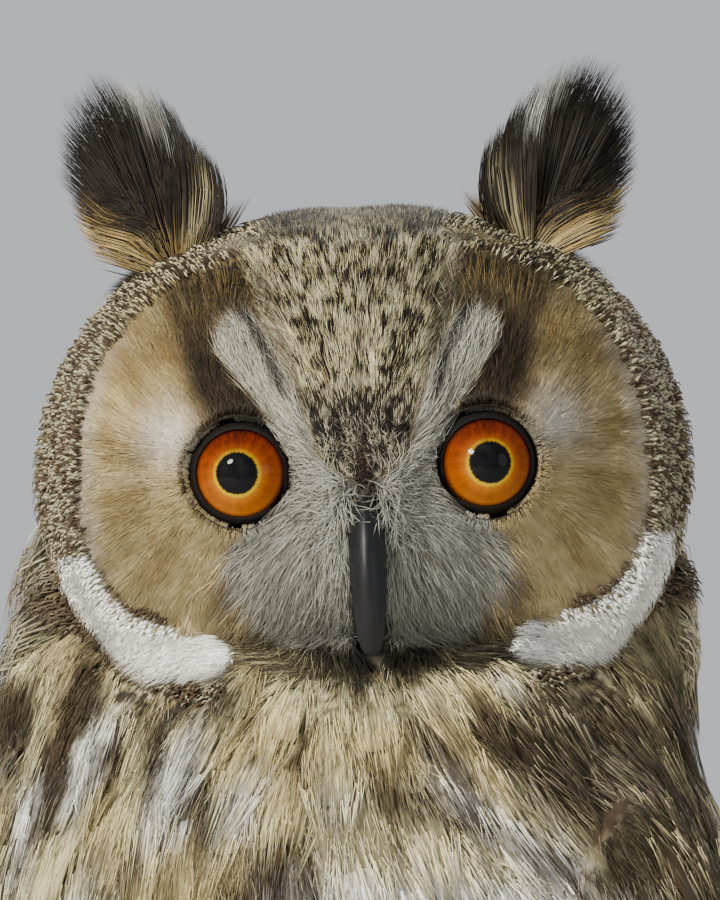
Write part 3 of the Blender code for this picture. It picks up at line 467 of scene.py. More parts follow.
def coatMaterial(name, settings):
    made, tree, shader = newMaterial(name, settings["roughness"], **{"Specular IOR Level": settings["gloss"]})
    tint = node(tree, "ShaderNodeAttribute", attribute_name="tint").outputs["Color"]
    mottle = groupNode(tree, mottleGroup, {"Colour": tint, "Patch": settings["patch"],
                                           "Grain": settings["grain"], "Strength": settings["mottle"]})
    colour = mottle.outputs["Colour"]
    if settings.get("barbs"):
        barbs = groupNode(tree, barbGroup, {"Count": settings["barbs"], "Depth": settings["barbDepth"]})
        colour = node(tree, "ShaderNodeMix", {0: 1.0, 6: colour, 7: (1, 1, 1, 1)}, data_type="RGBA",
                      blend_type="MULTIPLY").outputs[2]
        shadeMix = colour.node
        grey = node(tree, "ShaderNodeCombineColor", {0: barbs.outputs["Shade"], 1: barbs.outputs["Shade"],
                                                      2: barbs.outputs["Shade"]})
        link(tree, grey.outputs[0], shadeMix.inputs[7])
        bump = node(tree, "ShaderNodeBump", {"Height": barbs.outputs["Height"], "Strength": settings["bump"],
                                             "Distance": 0.0002})
    else:
        bump = node(tree, "ShaderNodeBump", {"Height": mottle.outputs["Grain"], "Strength": settings["bump"],
                                             "Distance": 0.0003})
    link(tree, colour, shader.inputs["Base Color"])
    link(tree, bump.outputs[0], shader.inputs["Normal"])
    return made


coats = {
    "hair": coatMaterial("faceHair", {"roughness": 0.62, "gloss": 0.3, "patch": 120.0, "grain": 900.0,
                                      "mottle": 0.35, "bump": 0.15}),
    "body": coatMaterial("bodyFeather", {"roughness": 0.7, "gloss": 0.25, "patch": 70.0, "grain": 800.0,
                                         "mottle": 0.4, "bump": 0.2}),
    "down": coatMaterial("bodyVane", {"roughness": 0.78, "gloss": 0.2, "patch": 70.0, "grain": 800.0, "mottle": 0.4,
                                      "bump": 0.35, "barbs": 30.0, "barbDepth": 0.2}),
    "skin": coatMaterial("owlSkin", {"roughness": 0.8, "gloss": 0.2, "patch": 90.0, "grain": 900.0,
                                     "mottle": 0.7, "bump": 0.6}),
}
print("materials of the coat made")

# The bare body: one skin under all the feathers
skinSettings = {"voxel": 0.0013, "rounds": 6, "faceDepth": 1.1, "crownDepth": 1.9, "bodyDepth": 3.6,
                "legDepth": 1.3, "wingRows": 26, "wingColumns": 24}


def gridShell(name, outer, inner):  # a closed plate from two grids of points of the same size
    rows, columns = outer.shape[:2]
    points = np.concatenate([outer.reshape(-1, 3), inner.reshape(-1, 3)]) / 1000
    at = lambda layer, i, j: layer * rows * columns + i * columns + j
    faces = []
    for i in range(rows - 1):
        for j in range(columns - 1):
            faces.append((at(0, i, j), at(0, i, j + 1), at(0, i + 1, j + 1), at(0, i + 1, j)))
            faces.append((at(1, i, j), at(1, i + 1, j), at(1, i + 1, j + 1), at(1, i, j + 1)))
    edge = ([(0, j) for j in range(columns)] + [(i, columns - 1) for i in range(1, rows)]
            + [(rows - 1, j) for j in range(columns - 2, -1, -1)] + [(i, 0) for i in range(rows - 2, 0, -1)])
    for k, first in enumerate(edge):
        second = edge[(k + 1) % len(edge)]
        faces.append((at(0, *second), at(0, *first), at(1, *first), at(1, *second)))
    mesh = bpy.data.meshes.new(name)
    mesh.from_pydata(points.tolist(), [], faces)
    obj = bpy.data.objects.new(name, mesh)
    bpy.context.collection.objects.link(obj)
    return turnOut(obj)


def turnOut(obj):
    activate(obj)
    bpy.ops.object.mode_set(mode="EDIT")
    bpy.ops.mesh.select_all(action="SELECT")
    bpy.ops.mesh.remove_doubles(threshold=1e-6)
    bpy.ops.mesh.normals_make_consistent(inside=False)
    bpy.ops.object.mode_set(mode="OBJECT")
    return obj


def nodeCopy(name):  # a merged copy of a solid, which leaves the solid as it is
    source = frame["nodes"][name]
    obj = bpy.data.objects.new("copyOf_" + name, source.data.copy())
    bpy.context.collection.objects.link(obj)
    obj.data.materials.clear()
    obj.hide_render = False
    return turnOut(obj)


def joined(objects, name):
    clearSelection()
    for obj in objects:
        obj.select_set(True)
    bpy.context.view_layer.objects.active = objects[0]
    bpy.ops.object.join()
    objects[0].name = name
    objects[0].data.name = name
    return objects[0]


tailPath = through(((46.0, 34.0), (20.0, 39.5), (-20.0, 45.0), (-84.0, 50.0)))
tailCore = through(((62.0, 15.0, 9.0), (40.0, 19.0, 10.0), (18.0, 16.0, 6.0), (-4.0, 13.0, 3.0), (-18.0, 9.0, 1.4)))


def wingShell(side):
    rows = np.linspace(158, 4, skinSettings["wingRows"])
    columns = np.linspace(0.02, 0.98, skinSettings["wingColumns"])
    height, across = np.meshgrid(rows, columns, indexing="ij")
    thick = wingCore(height)[..., 0] * (1 - 0.5 * np.abs(across - 0.5) * 2)
    outer, _ = wingPlace(side, across, height, thick)
    inner, _ = wingPlace(side, across, height, np.full_like(thick, -0.8))
    return gridShell("wingShell", outer, inner)


def tailShell():
    rows = np.linspace(60, -16, 14)
    spread = np.linspace(-1, 1, 13)
    height, across = np.meshgrid(rows, spread, indexing="ij")
    size = tailCore(height)
    middle = tailPath(np.clip(height, -84, 46))[..., 0]
    half = size[..., 1] * np.sqrt(np.clip(1 - across**2, 0.04, 1))
    front = np.stack([size[..., 0] * across, middle - half, height], axis=-1)
    back = np.stack([size[..., 0] * across, middle + half, height], axis=-1)
    return gridShell("tailShell", overPerch(front), overPerch(back))


def makeSkin():
    parts = [nodeCopy(name) for name in ("torso", "head", "neck", "leg_left", "leg_right", "foot_left", "foot_right")]
    skin = joined(parts + [wingShell(1), wingShell(-1), tailShell()], "skin")
    remesh = skin.modifiers.new("oneSkin", "REMESH")
    remesh.mode, remesh.voxel_size = "VOXEL", skinSettings["voxel"]
    applyAll(skin)
    activate(skin)
    bpy.ops.object.mode_set(mode="EDIT")  # only the outer shell stays
    bpy.ops.mesh.select_all(action="DESELECT")
    bpy.ops.object.mode_set(mode="OBJECT")
    top = int(np.argmax(placesOf(skin)[:, 2]))
    skin.data.vertices[top].select = True
    bpy.ops.object.mode_set(mode="EDIT")
    bpy.ops.mesh.select_linked()
    bpy.ops.mesh.select_all(action="INVERT")
    bpy.ops.mesh.delete(type="VERT")
    bpy.ops.object.mode_set(mode="OBJECT")
    relax = skin.modifiers.new("relax", "SMOOTH")
    relax.factor, relax.iterations = 0.5, skinSettings["rounds"]
    applyAll(skin)
    places, normals = placesOf(skin), normalsOf(skin)
    head = toHead(places)
    share, _ = faceShare(head)
    s = skinSettings
    face = (1 - smooth(0.95, 1.08, share)) * smooth(5, -10, head[:, 1]) * smooth(-38, -30, head[:, 2])
    onHead = smooth(-44, -34, head[:, 2])
    depth = s["bodyDepth"] + (s["crownDepth"] - s["bodyDepth"]) * onHead
    depth = depth + (s["faceDepth"] - depth) * face
    body = toBody(places)
    onLeg = smooth(26, 14, body[:, 2]) * smooth(28, 24, np.hypot(np.abs(body[:, 0]) - 19, body[:, 1]))
    depth = depth + (s["legDepth"] - depth) * onLeg
    onWing = smooth(24, 30, np.abs(body[:, 0])) * smooth(165, 158, body[:, 2]) * smooth(-0.1, 0.1, wingNear(body))
    depth = depth * (1 - onWing) + 0.4 * onWing
    lowTail = smooth(40, 24, body[:, 2]) * smooth(22, 28, body[:, 1])
    depth = depth * (1 - lowTail) + 0.3 * lowTail
    movePoints(skin, places - normals * depth[:, None])
    activate(skin)
    bpy.ops.object.shade_smooth()
    bpy.ops.object.mode_set(mode="EDIT")
    bpy.ops.mesh.select_all(action="SELECT")
    bpy.ops.uv.smart_project(angle_limit=math.radians(66), island_margin=0.002)
    bpy.ops.object.mode_set(mode="OBJECT")
    skin.data.uv_layers[0].name = "OFBake"
    return skin


def wingNear(body):  # above 0 where a place of the body lies under a folded wing
    row = wingSection(np.clip(body[:, 2], -94, 158))
    angle = np.degrees(np.arctan2((body[:, 1] - row[:, 1]) / row[:, 2], np.abs(body[:, 0]) / row[:, 0]))
    inside = np.minimum(angle - row[:, 3], row[:, 4] - angle) / 20
    return np.where((body[:, 2] < 158) & (body[:, 2] > 2), np.clip(inside, -1, 1), -1)


class Surface:  # what the feathers need to know of the skin
    def __init__(self, obj):
        mesh = obj.data
        mesh.calc_loop_triangles()
        count = len(mesh.loop_triangles)
        read = lambda items, key, size, kind: self.pull(items, key, size, kind)
        self.corners = read(mesh.loop_triangles, "vertices", 3, np.int32)
        loops = read(mesh.loop_triangles, "loops", 3, np.int32)
        self.places = placesOf(obj)
        normals = normalsOf(obj)
        self.cornerNormals = normals[self.corners]
        uv = read(mesh.uv_layers["OFBake"].uv, "vector", 2, np.float32)
        self.cornerUv = uv[loops]
        p = self.places[self.corners]
        self.area = np.linalg.norm(np.cross(p[:, 1] - p[:, 0], p[:, 2] - p[:, 0]), axis=1) / 2
        self.centre, self.normal = p.mean(axis=1), unit(self.cornerNormals.mean(axis=1))
        self.middleUv = self.cornerUv.mean(axis=1)
        self.tree = BVHTree.FromPolygons(self.places.tolist(), self.corners.tolist())
        print("skin:", count, "triangles")

    @staticmethod
    def pull(items, key, size, kind):
        flat = np.empty(len(items) * size, kind)
        items.foreach_get(key, flat)
        return flat.reshape(-1, size)

    def roots(self, count, density):  # places spread over the skin, as thick as density says
        weight = self.area * np.clip(density(self.centre, self.normal), 0, None)
        pick = chance.choice(len(weight), count, p=weight / weight.sum())
        a, b = chance.random(count), chance.random(count)
        flip = a + b > 1
        a, b = np.where(flip, 1 - a, a), np.where(flip, 1 - b, b)
        share = np.stack([1 - a - b, a, b], axis=1)[..., None]
        return ((self.places[self.corners[pick]] * share).sum(axis=1),
                unit((self.cornerNormals[pick] * share).sum(axis=1)), (self.cornerUv[pick] * share).sum(axis=1))

    def spacedRoots(self, count, density, spacing):  # the same, but no two closer than the spacing
        place, normal, uv = self.roots(count, density)
        gap = spacing(place)
        cells, kept, size = {}, [], float(gap.max())
        for i, p in enumerate(place):
            key = tuple((p // size).astype(int))
            near = [j for dx in (-1, 0, 1) for dy in (-1, 0, 1) for dz in (-1, 0, 1)
                    for j in cells.get((key[0] + dx, key[1] + dy, key[2] + dz), ())]
            if near and (((place[near] - p) ** 2).sum(axis=1) < gap[i] ** 2).any():
                continue
            cells.setdefault(key, []).append(i)
            kept.append(i)
        return place[kept], normal[kept], uv[kept]

    def settle(self, points):  # the nearest places on the skin, with their normals and map places
        shape = points.shape[:-1]
        flat = points.reshape(-1, 3)
        spots, found = np.empty_like(flat), np.empty(len(flat), int)
        nearest = self.tree.find_nearest
        for i, p in enumerate(flat.tolist()):
            spot, _, index, _ = nearest(p)
            spots[i], found[i] = spot, index
        return (spots.reshape(shape + (3,)), self.normal[found].reshape(shape + (3,)),
                self.middleUv[found].reshape(shape + (2,)))


# Every tuft is a closed sliver: left edge, raised middle and right edge in each row, and one point at the tip


def slivers(name, material, line, up, half, ridge, edgeTone, ridgeTone, rootUv, slot=None):
    count, rows = half.shape
    ahead = unit(np.diff(line, axis=1))[:, :rows]
    across = unit(np.cross(ahead, up[:, :rows]))
    over = unit(np.cross(across, ahead))
    middle = line[:, :rows]
    left = middle - across * half[..., None]
    right = middle + across * half[..., None]
    top = middle + over * ridge[..., None]
    ring = np.stack([left, top, right], axis=2).reshape(count, rows * 3, 3)
    points = np.concatenate([ring, line[:, rows:rows + 1]], axis=1)
    each = rows * 3 + 1
    faces = [(0, 2, 1)]
    for k in range(rows - 1):
        a = k * 3
        for j in range(3):
            p, q = a + j, a + (j + 1) % 3
            faces += [(p, q, q + 3), (p, q + 3, p + 3)]
    a = (rows - 1) * 3
    faces += [(a, a + 1, each - 1), (a + 1, a + 2, each - 1), (a + 2, a, each - 1)]
    triangles = (np.arange(count)[:, None, None] * each + np.array(faces)[None]).reshape(-1, 3)
    toneRows = np.stack([edgeTone[:, :rows], ridgeTone[:, :rows], edgeTone[:, :rows]], axis=2).reshape(count, rows * 3, 3)
    tone = np.concatenate([toneRows, edgeTone[:, rows:rows + 1]], axis=1)
    along = np.linspace(0, 1, rows + 1)
    u = np.concatenate([np.tile([0.0, 0.5, 1.0], rows), [0.5]])
    v = np.concatenate([np.repeat(along[:rows], 3), [1.0]])
    own = np.broadcast_to(np.stack([u, v], axis=1), (count, each, 2))
    return coatMesh(name, material, points.reshape(-1, 3), triangles, tone.reshape(-1, 3), own.reshape(-1, 2),
                    np.repeat(rootUv, each, axis=0))


def coatMesh(name, material, points, triangles, tone, own, rootUv):
    mesh = bpy.data.meshes.new(name)
    mesh.vertices.add(len(points))
    mesh.vertices.foreach_set("co", (points / 1000).astype(np.float32).ravel())
    mesh.loops.add(triangles.size)
    mesh.loops.foreach_set("vertex_index", triangles.astype(np.int32).ravel())
    mesh.polygons.add(len(triangles))
    mesh.polygons.foreach_set("loop_start", np.arange(0, triangles.size, 3, dtype=np.int32))
    mesh.polygons.foreach_set("use_smooth", np.ones(len(triangles), bool))
    mesh.update(calc_edges=True)
    corner = triangles.ravel()
    vane = mesh.uv_layers.new(name="vane")
    vane.uv.foreach_set("vector", own[corner].astype(np.float32).ravel())
    bake = mesh.uv_layers.new(name="OFBake")
    patch = rootUv + (own - 0.5) * 0.003
    bake.uv.foreach_set("vector", patch[corner].astype(np.float32).ravel())
    mesh.uv_layers.active = vane
    vane.active_render = True
    mesh.materials.append(material)
    obj = bpy.data.objects.new(name, mesh)
    bpy.context.collection.objects.link(obj)
    paint(obj, tone)
    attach(obj, "root")
    print(name, len(triangles), "triangles")
    return obj


def strandLines(root, normal, flow, length, rise, rows, settle=True, sway=0.0):
    # lines that leave the skin at their roots, follow it, and stand off it by rise at their tips
    steps = np.linspace(0, 1, rows + 1)
    line = root[:, None] + flow[:, None] * (length[:, None] * steps[None])[..., None]
    if sway:
        side = unit(np.cross(flow, normal))
        curl = chance.normal(0, sway, len(root))
        line = line + side[:, None] * (curl[:, None] * length[:, None] * steps[None] ** 2)[..., None]
    up = np.repeat(normal[:, None], rows + 1, axis=1)
    if settle:
        spot, spotNormal, _ = surface.settle(line[:, 1:])
        up[:, 1:] = spotNormal
        line[:, 1:] = spot
    height = rise[:, None] * np.sin(np.minimum(steps * 1.25, 1.0) * math.pi / 2)[None]
    line = line + up * height[..., None]
    line[:, 0] -= normal * 0.25
    return line, up


def along(normal, wanted):  # a direction laid flat on the skin
    return unit(wanted - normal * (wanted * normal).sum(axis=-1, keepdims=True))


def spun(flow, normal, angle):
    side = np.cross(normal, flow)
    return flow * np.cos(angle)[:, None] + side * np.sin(angle)[:, None]


def headWay(h, wanted, side):  # a direction of the head's right half, mirrored by side and put in the model
    return rolled(wanted * np.stack([side, np.ones_like(side), np.ones_like(side)], axis=-1), pose["headRoll"])


def sideOf(h):
    return np.where(h[..., 0] < 0, -1.0, 1.0)


print("making the skin")
skin = makeSkin()
surface = Surface(skin)


def shoulderZone(b):  # where the dark feathers above the folded wing begin
    around = np.degrees(np.abs(np.arctan2(b[..., 0], -b[..., 1])))
    edge = np.interp(b[..., 2], (100, 120, 135, 159, 168, 176), (104, 86, 75, 58, 64, 100))
    return smooth(-3, 4, around - edge) * smooth(176, 166, b[..., 2]) * smooth(150, 120, around)


streakBend = ((-70, -45, -22, -5, 12, 30, 48, 65), (-0.10, -0.25, -0.15, 0.10, 0.55, 0.90, 0.8, 0.4))


def bodyTone(points, across, along, luck, second, own=0.5):
    # colour of a body feather at a place on it: across from -1 to 1, along from root to tip
    b, t = toBody(points), tones
    around = np.degrees(np.abs(np.arctan2(b[..., 0], -(b[..., 1] - 4))))
    height = b[..., 2]
    front = smooth(125, 95, around)
    belly = smooth(95, 50, height)
    h = toHead(points)
    bend = np.interp(h[..., 0], *streakBend)
    a, c = h[..., 0] + bend * (h[..., 2] + 31) + 1.5 * across * (1 - luck), h[..., 2]
    blotch = patchNoise(a / 3.0, c / 9, 81) + 0.30 * patchNoise(a / 1.2, c / 5.0, 83) + 0.30 * (own - 0.5)
    blotch = blotch - 0.7 * smooth(-44, -34, h[..., 2]) * smooth(22, 8, np.abs(h[..., 0] - 6))
    tint = patchNoise(a / 4.5 + 9, c / 9, 85)
    base = mix(mix(t["cream"], t["white"], smooth(-0.15, 0.45, tint + 0.3 * (second - 0.5) - 0.5 * smooth(-48, -36, h[..., 2]))), t["buff"],
               0.55 * smooth(-0.25, -0.6, tint))
    base = mix(base, t["taupe"], 0.40 * smooth(-0.15, 0.05, blotch)) * 1.06
    wander = across + 0.30 * np.sin(along * 5 + luck * 9)
    streak = np.exp(-np.abs(wander / (0.40 - 0.14 * belly)) ** 3) * smooth(0.25, 0.55, along) * (second > 0.45)
    streak = np.maximum(streak * 0.75, smooth(0.0, 0.30, blotch) * (1 - 0.5 * belly))
    streakTone = mix(t["streak"], t["dark"], 0.1 + 0.45 * second) * (0.85 + 0.3 * np.asarray(own)[..., None])
    frontTone = mix(base, streakTone, streak * 0.95)
    neck = smooth(52, 75, around) * smooth(160, 178, height)
    frontTone = mix(frontTone, mix(t["brown"], t["taupe"], own), neck * 0.6)
    bars = 0.5 + 0.5 * np.sin((along * 7 + luck * 6) * 2 * math.pi)
    backBase = mix(mix(t["wingPale"], t["buff"], luck), t["wing"], 0.35 + 0.4 * bars)
    backTone = mix(backBase, t["dark"], np.exp(-(across / 0.45) ** 2) * smooth(0.15, 0.6, along) * 0.85)
    tone = mix(backTone, frontTone, front)
    shoulder = mix(t["dark"] * 1.2, t["brown"], 0.15 + 0.5 * luck)
    flecks = smooth(0.25, 0.5, patchNoise(h[..., 0] / 1.3, h[..., 2] / 2.2, 87) + 0.5 * (own - 0.5))
    flecks = np.maximum(flecks * 0.75, (own > 0.85) * 0.7) * smooth(0, 0.1, own)
    shoulder = mix(shoulder, mix(t["taupe"], t["cream"], luck), flecks)
    tone = mix(tone, shoulder, shoulderZone(b) * 0.95)
    low = smooth(30, 14, height)
    return mix(tone, mix(t["leg"], t["cream"], luck * 0.6), low)


def shadedSkinTone(points):
    h = toHead(points)
    share, _ = faceShare(h)
    luck = chance.random(len(points))
    face = (1 - smooth(0.97, 1.02, share)) * smooth(5, -8, h[:, 1]) * smooth(-36, -30, h[:, 2])
    onHead = smooth(-44, -34, h[:, 2])
    # painted shade: the skin is darkened to 0.45 of the body's tone and half mixed with the streak colour, the crown to
    # 0.7 and the face to 0.5, darker still beside the bill, so the gaps between feathers read as shade
    tone = bodyTone(points, np.full(len(points), 0.6), np.full(len(points), 0.5), luck, luck) * 0.45
    tone = mix(tone, tones["streak"], 0.5)
    tone = mix(tone, crownTone(h, luck) * 0.7, onHead)
    tone = mix(tone, faceTone(h, luck * 0.5 + 0.25) * (0.5 - 0.35 * smooth(12, 4, np.abs(h[:, 0])))[:, None], face)
    eye = np.hypot(np.abs(h[:, 0]) - pose["eyeSpread"], h[:, 2])
    # painted shade: darker round each eye socket, and black nearest the lid
    tone = mix(tone, linear(0.20, 0.17, 0.13), smooth(11.0, 10.0, eye) * (h[:, 1] < 0))
    return mix(tone, tones["black"] * 0.6, smooth(9.6, 9.0, eye) * (h[:, 1] < 0))


paint(skin, shadedSkinTone(surface.places))
skin.data.materials.clear()
skin.data.materials.append(coats["skin"])
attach(skin, "root")
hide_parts("head", "neck", "torso", "leg_left", "leg_right", "foot_left", "foot_right")
print("skin made")

# Hair-like feathers of the face: straight hairs on the disc and the forehead, bent ones on the mask
faceCoat = {
    "disc": {"count": 60000, "width": 0.095, "length": (3.0, 8.2), "rise": 1.0, "rows": 1},
    "mask": {"count": 16600, "width": 0.064, "length": (7.0, 10.5), "rise": 1.8, "rows": 2},
    "forehead": {"count": 24200, "width": 0.11, "length": (1.8, 3.4), "rise": 1.0, "rows": 1},
    "thick": 0.08, "sway": 0.10,
    "lash": {"count": 4500, "width": 0.075, "reach": (8.35, 11.2), "length": 3.0, "rise": 0.55},
}


def onFace(p, n):
    h = toHead(p)
    share, _ = faceShare(h)
    eye = np.hypot(np.abs(h[:, 0]) - pose["eyeSpread"], h[:, 2])
    facing = rolled(n, -pose["headRoll"])[:, 1] < np.where(eye < 10.8, -0.62, -0.12)
    bill = (np.abs(h[:, 0]) < 1.7 + 0.06 * np.clip(-h[:, 2], 0, 20)) & (h[:, 2] < -3.2) & (h[:, 2] > -34)
    return (share < 0.985) * facing * (h[:, 1] < 0) * (h[:, 2] > -32.5) * (eye > 7.5) * (~bill), h, share, eye


def zoneDensity(zone):
    def density(p, n):
        inside, h, share, eye = onFace(p, n)
        f = faceZones(h)
        if zone == "mask":
            return inside * (f["mask"] > 0.5) * (1 + 1.2 * smooth(12, 4, f["x"]))
        if zone == "forehead":
            return inside * (f["mask"] <= 0.5) * (np.maximum(f["wedge"], f["band"]) > 0.5)
        return inside * (f["mask"] <= 0.5) * (np.maximum(f["wedge"], f["band"]) <= 0.5) * (1 + 0.8 * smooth(11, 8, eye))
    return density


def growFace(zone):
    s = faceCoat[zone]
    root, normal, uv = surface.roots(s["count"], zoneDensity(zone))
    h = toHead(root)
    f = faceZones(h)
    side, x, z, eye = sideOf(h), f["x"], f["z"], f["eye"]
    n = len(root)
    luck = chance.random(n)
    zero = np.zeros(n)
    low, high = s["length"]
    if zone == "disc":
        way = unit(np.stack([x - pose["eyeSpread"], zero, z], axis=-1))
        way = way + np.stack([zero, zero, -0.30 * smooth(10, 30, eye) * smooth(10, -5, z)], axis=-1)
        chin = smooth(-22, -26, z) * smooth(30, 24, x)
        way = mix(unit(way), np.broadcast_to(unit(np.array([1.0, 0.0, -0.12])), (n, 3)), chin)
        length = low + (high - low) * smooth(9.5, 34, eye)
        length = length * (1 - 0.70 * smooth(11.0, 8.2, eye)) * (1 - 0.6 * f["crescent"])
        rise = s["rise"] * (1 - 0.75 * smooth(11, 8.4, eye)) * (1 + 1.3 * f["crescent"])
        clump = 0.35 * patchNoise(x * 0.5, z * 0.5, 21)
    elif zone == "mask":
        level = np.clip(z, -7.0, 2.5)
        reach = np.hypot(x - 2.2, z - level)
        nearBill = smooth(9.5, 3.5, x) * smooth(0, -6, z)
        way = unit(np.stack([x - 2.2, zero, z - level + 0.01], axis=-1))
        way = way + np.stack([-0.35 * nearBill, zero, -0.85 * smooth(-2.5, -8, z) - 0.8 * nearBill], axis=-1)
        way = mix(unit(way), np.broadcast_to(unit(np.array([0.50, 0.0, 0.86])), (n, 3)), smooth(2, 8, z))
        middle = smooth(2.4, 1.2, x) * smooth(5, 2, z)
        way = mix(way, np.broadcast_to(np.array([0.05, 0.0, -1.0]), (n, 3)), middle)
        length = high - (high - low) * smooth(-8, 0, z)
        length = length * (1 - 0.4 * middle) * (0.62 + 0.38 * smooth(1, 7, reach)) * (1 - 0.45 * smooth(11.2, 8.6, eye))
        rise = s["rise"] * (0.6 + 0.6 * smooth(-2, -14, z) * smooth(18, 6, x)) * (1 - 0.6 * smooth(11, 9, eye))
        clump = 0.22 * patchNoise(x * 0.9, z * 0.5, 31)
    else:
        way = unit(np.stack([x * 0.03 + 0.5 * f["band"], zero, np.ones(n)], axis=-1))
        length = low + (high - low) * smooth(0, 24, z)
        rise = s["rise"] * (0.5 + 0.5 * smooth(-2, 8, z))
        clump = 0.3 * patchNoise(x * 0.6, z * 0.6, 41)
    flow = along(normal, headWay(h, unit(way), side))
    parting = smooth(6.0, 2.5, np.hypot(x - 2.6, 0.7 * (z - np.clip(z, -5, 1)))) if zone != "disc" else zero
    flow = spun(flow, normal, side * clump + chance.normal(0, 1.0, n) * (0.10 + 0.75 * parting))
    length = length * (0.7 + 0.6 * chance.random(n))
    rise = rise * (0.45 + 0.9 * chance.random(n))
    rows = s["rows"]
    line, up = strandLines(root, normal, flow, length, rise, rows, sway=s["rows"] > 1 and faceCoat["sway"])
    if zone == "mask":
        on = toHead(line)
        forward = np.interp(on[..., 2], (-28, -20, -12, -8, -4, 0), (3.0, 6.5, 9.5, 9.5, 5.0, 0.5))
        forward = forward * smooth(10.5, 1.5, np.abs(on[..., 0])) * (chance.random(n) ** 0.6)[:, None]
        forward = forward * np.array([0.0, 0.7, 1.0])
        line = line - rolled(np.array([0.0, 1.0, 0.0]), pose["headRoll"]) * forward[..., None]
    half = (s["width"] * (0.75 + 0.5 * chance.random(n)))[:, None] * np.linspace(1.0, 0.9, rows)
    tone = faceTone(toHead(root + flow * (length * 0.3)[:, None]), luck) * (0.84 + 0.32 * chance.random(n)[:, None])
    # painted shade: each hair is darker at its root and paler at its tip
    steps = np.linspace(0.72, 1.12, rows + 1)[None, :, None]
    edge = tone[:, None] * steps
    each = 6 * (rows - 1) + 4
    for part, pick in enumerate(np.array_split(np.arange(n), math.ceil(n * each / 190000))):
        slivers(f"{zone}Feathers{part + 1}", coats["hair"], line[pick], up[pick], half[pick],
                np.full((len(pick), rows), faceCoat["thick"]), edge[pick], edge[pick][:, :rows] * 0.96, uv[pick],
                slot="face_feathers")


for zone in ("disc", "mask", "forehead"):
    growFace(zone)


def growLashes():  # short feathers that close the gap between each lid and the face
    s = faceCoat["lash"]
    low, high = s["reach"]
    sides, angle = np.repeat((-1.0, 1.0), s["count"]), chance.random(2 * s["count"]) * 2 * math.pi
    n = len(angle)
    reach = low + (high - low) * chance.random(n) ** 1.3
    at = lambda r: np.stack([sides * (pose["eyeSpread"] + r * np.cos(angle)), np.full(n, -60.0), r * np.sin(angle)], axis=-1)
    spots, ahead = np.empty((n, 3)), rolled(np.array([0.0, 1.0, 0.0]), pose["headRoll"])
    found = np.empty(n, int)
    for i, p in enumerate(fromHead(at(np.maximum(reach, 8.9))).tolist()):
        spot, _, found[i], _ = surface.tree.ray_cast(p, tuple(ahead))
        spots[i] = spot
    start = at(reach)
    start[:, 1] = toHead(spots)[:, 1] - 0.25 * (reach < 8.9)
    root, luck = fromHead(start), chance.random(n)
    outward = np.stack([np.cos(angle) * sides, np.zeros(n), np.sin(angle)], axis=-1)
    flow = rolled(outward, pose["headRoll"])
    normal = unit(mix(surface.normal[found], -ahead, 0.6))
    flow = spun(along(normal, flow), normal, chance.normal(0, 0.2, n))
    length = s["length"] * (0.6 + 0.6 * chance.random(n)) * (0.6 + 0.4 * smooth(8, 10, reach))
    line = np.stack([root, root + flow * length[:, None] + normal * (s["rise"] * chance.random(n))[:, None]], axis=1)
    up = np.repeat(normal[:, None], 2, axis=1)
    tone = mix(tones["black"], faceTone(start + outward * 0.7, luck), smooth(8.3, 8.8, reach + 0.5 * luck))
    half = np.full((n, 1), s["width"])
    # painted shade: darker at the root
    edge = np.stack([tone * 0.75, tone], axis=1)
    slivers("lashFeathers", coats["hair"], line, up, half, np.full((n, 1), 0.08), edge, edge[:, :1],
            surface.middleUv[found], slot="face_feathers")


growLashes()

# The ring of small stiff feathers round the disc, like rows of beads
rimCoat = {"count": 16600, "length": 1.35, "width": 0.27, "rise": 1.2, "band": (0.945, 1.16)}


def rimHere(fromTop):  # the ring of beads fades into the crown at its top
    return smooth(8, 22, fromTop)


def rimDensity(p, n):
    h = toHead(p)
    share, fromTop = faceShare(h)
    low, high = rimCoat["band"]
    f = faceZones(h)
    high = high - 0.14 * smooth(108, 124, fromTop) - 0.05 * smooth(60, 40, fromTop)
    white = faceZones(h - (0.0, 0.0, 2.4))["crescent"]
    ring = (share > low) * (share < high) * (fromTop < 112) + (white > 0.3) * (share > 0.80) * (share < high)
    ring = ring + (share > low) * (share < high) * (np.abs(h[:, 0]) > 24) * (outlineGap(f["x"], f["z"], faceMarks["crescent"]) < 4.5)
    return (ring > 0) * (h[:, 1] < 8) * (fromTop > 8) * (fromTop < 148) * (h[:, 2] > -37) * (0.3 + np.abs(n[:, 1])) * rimHere(fromTop)


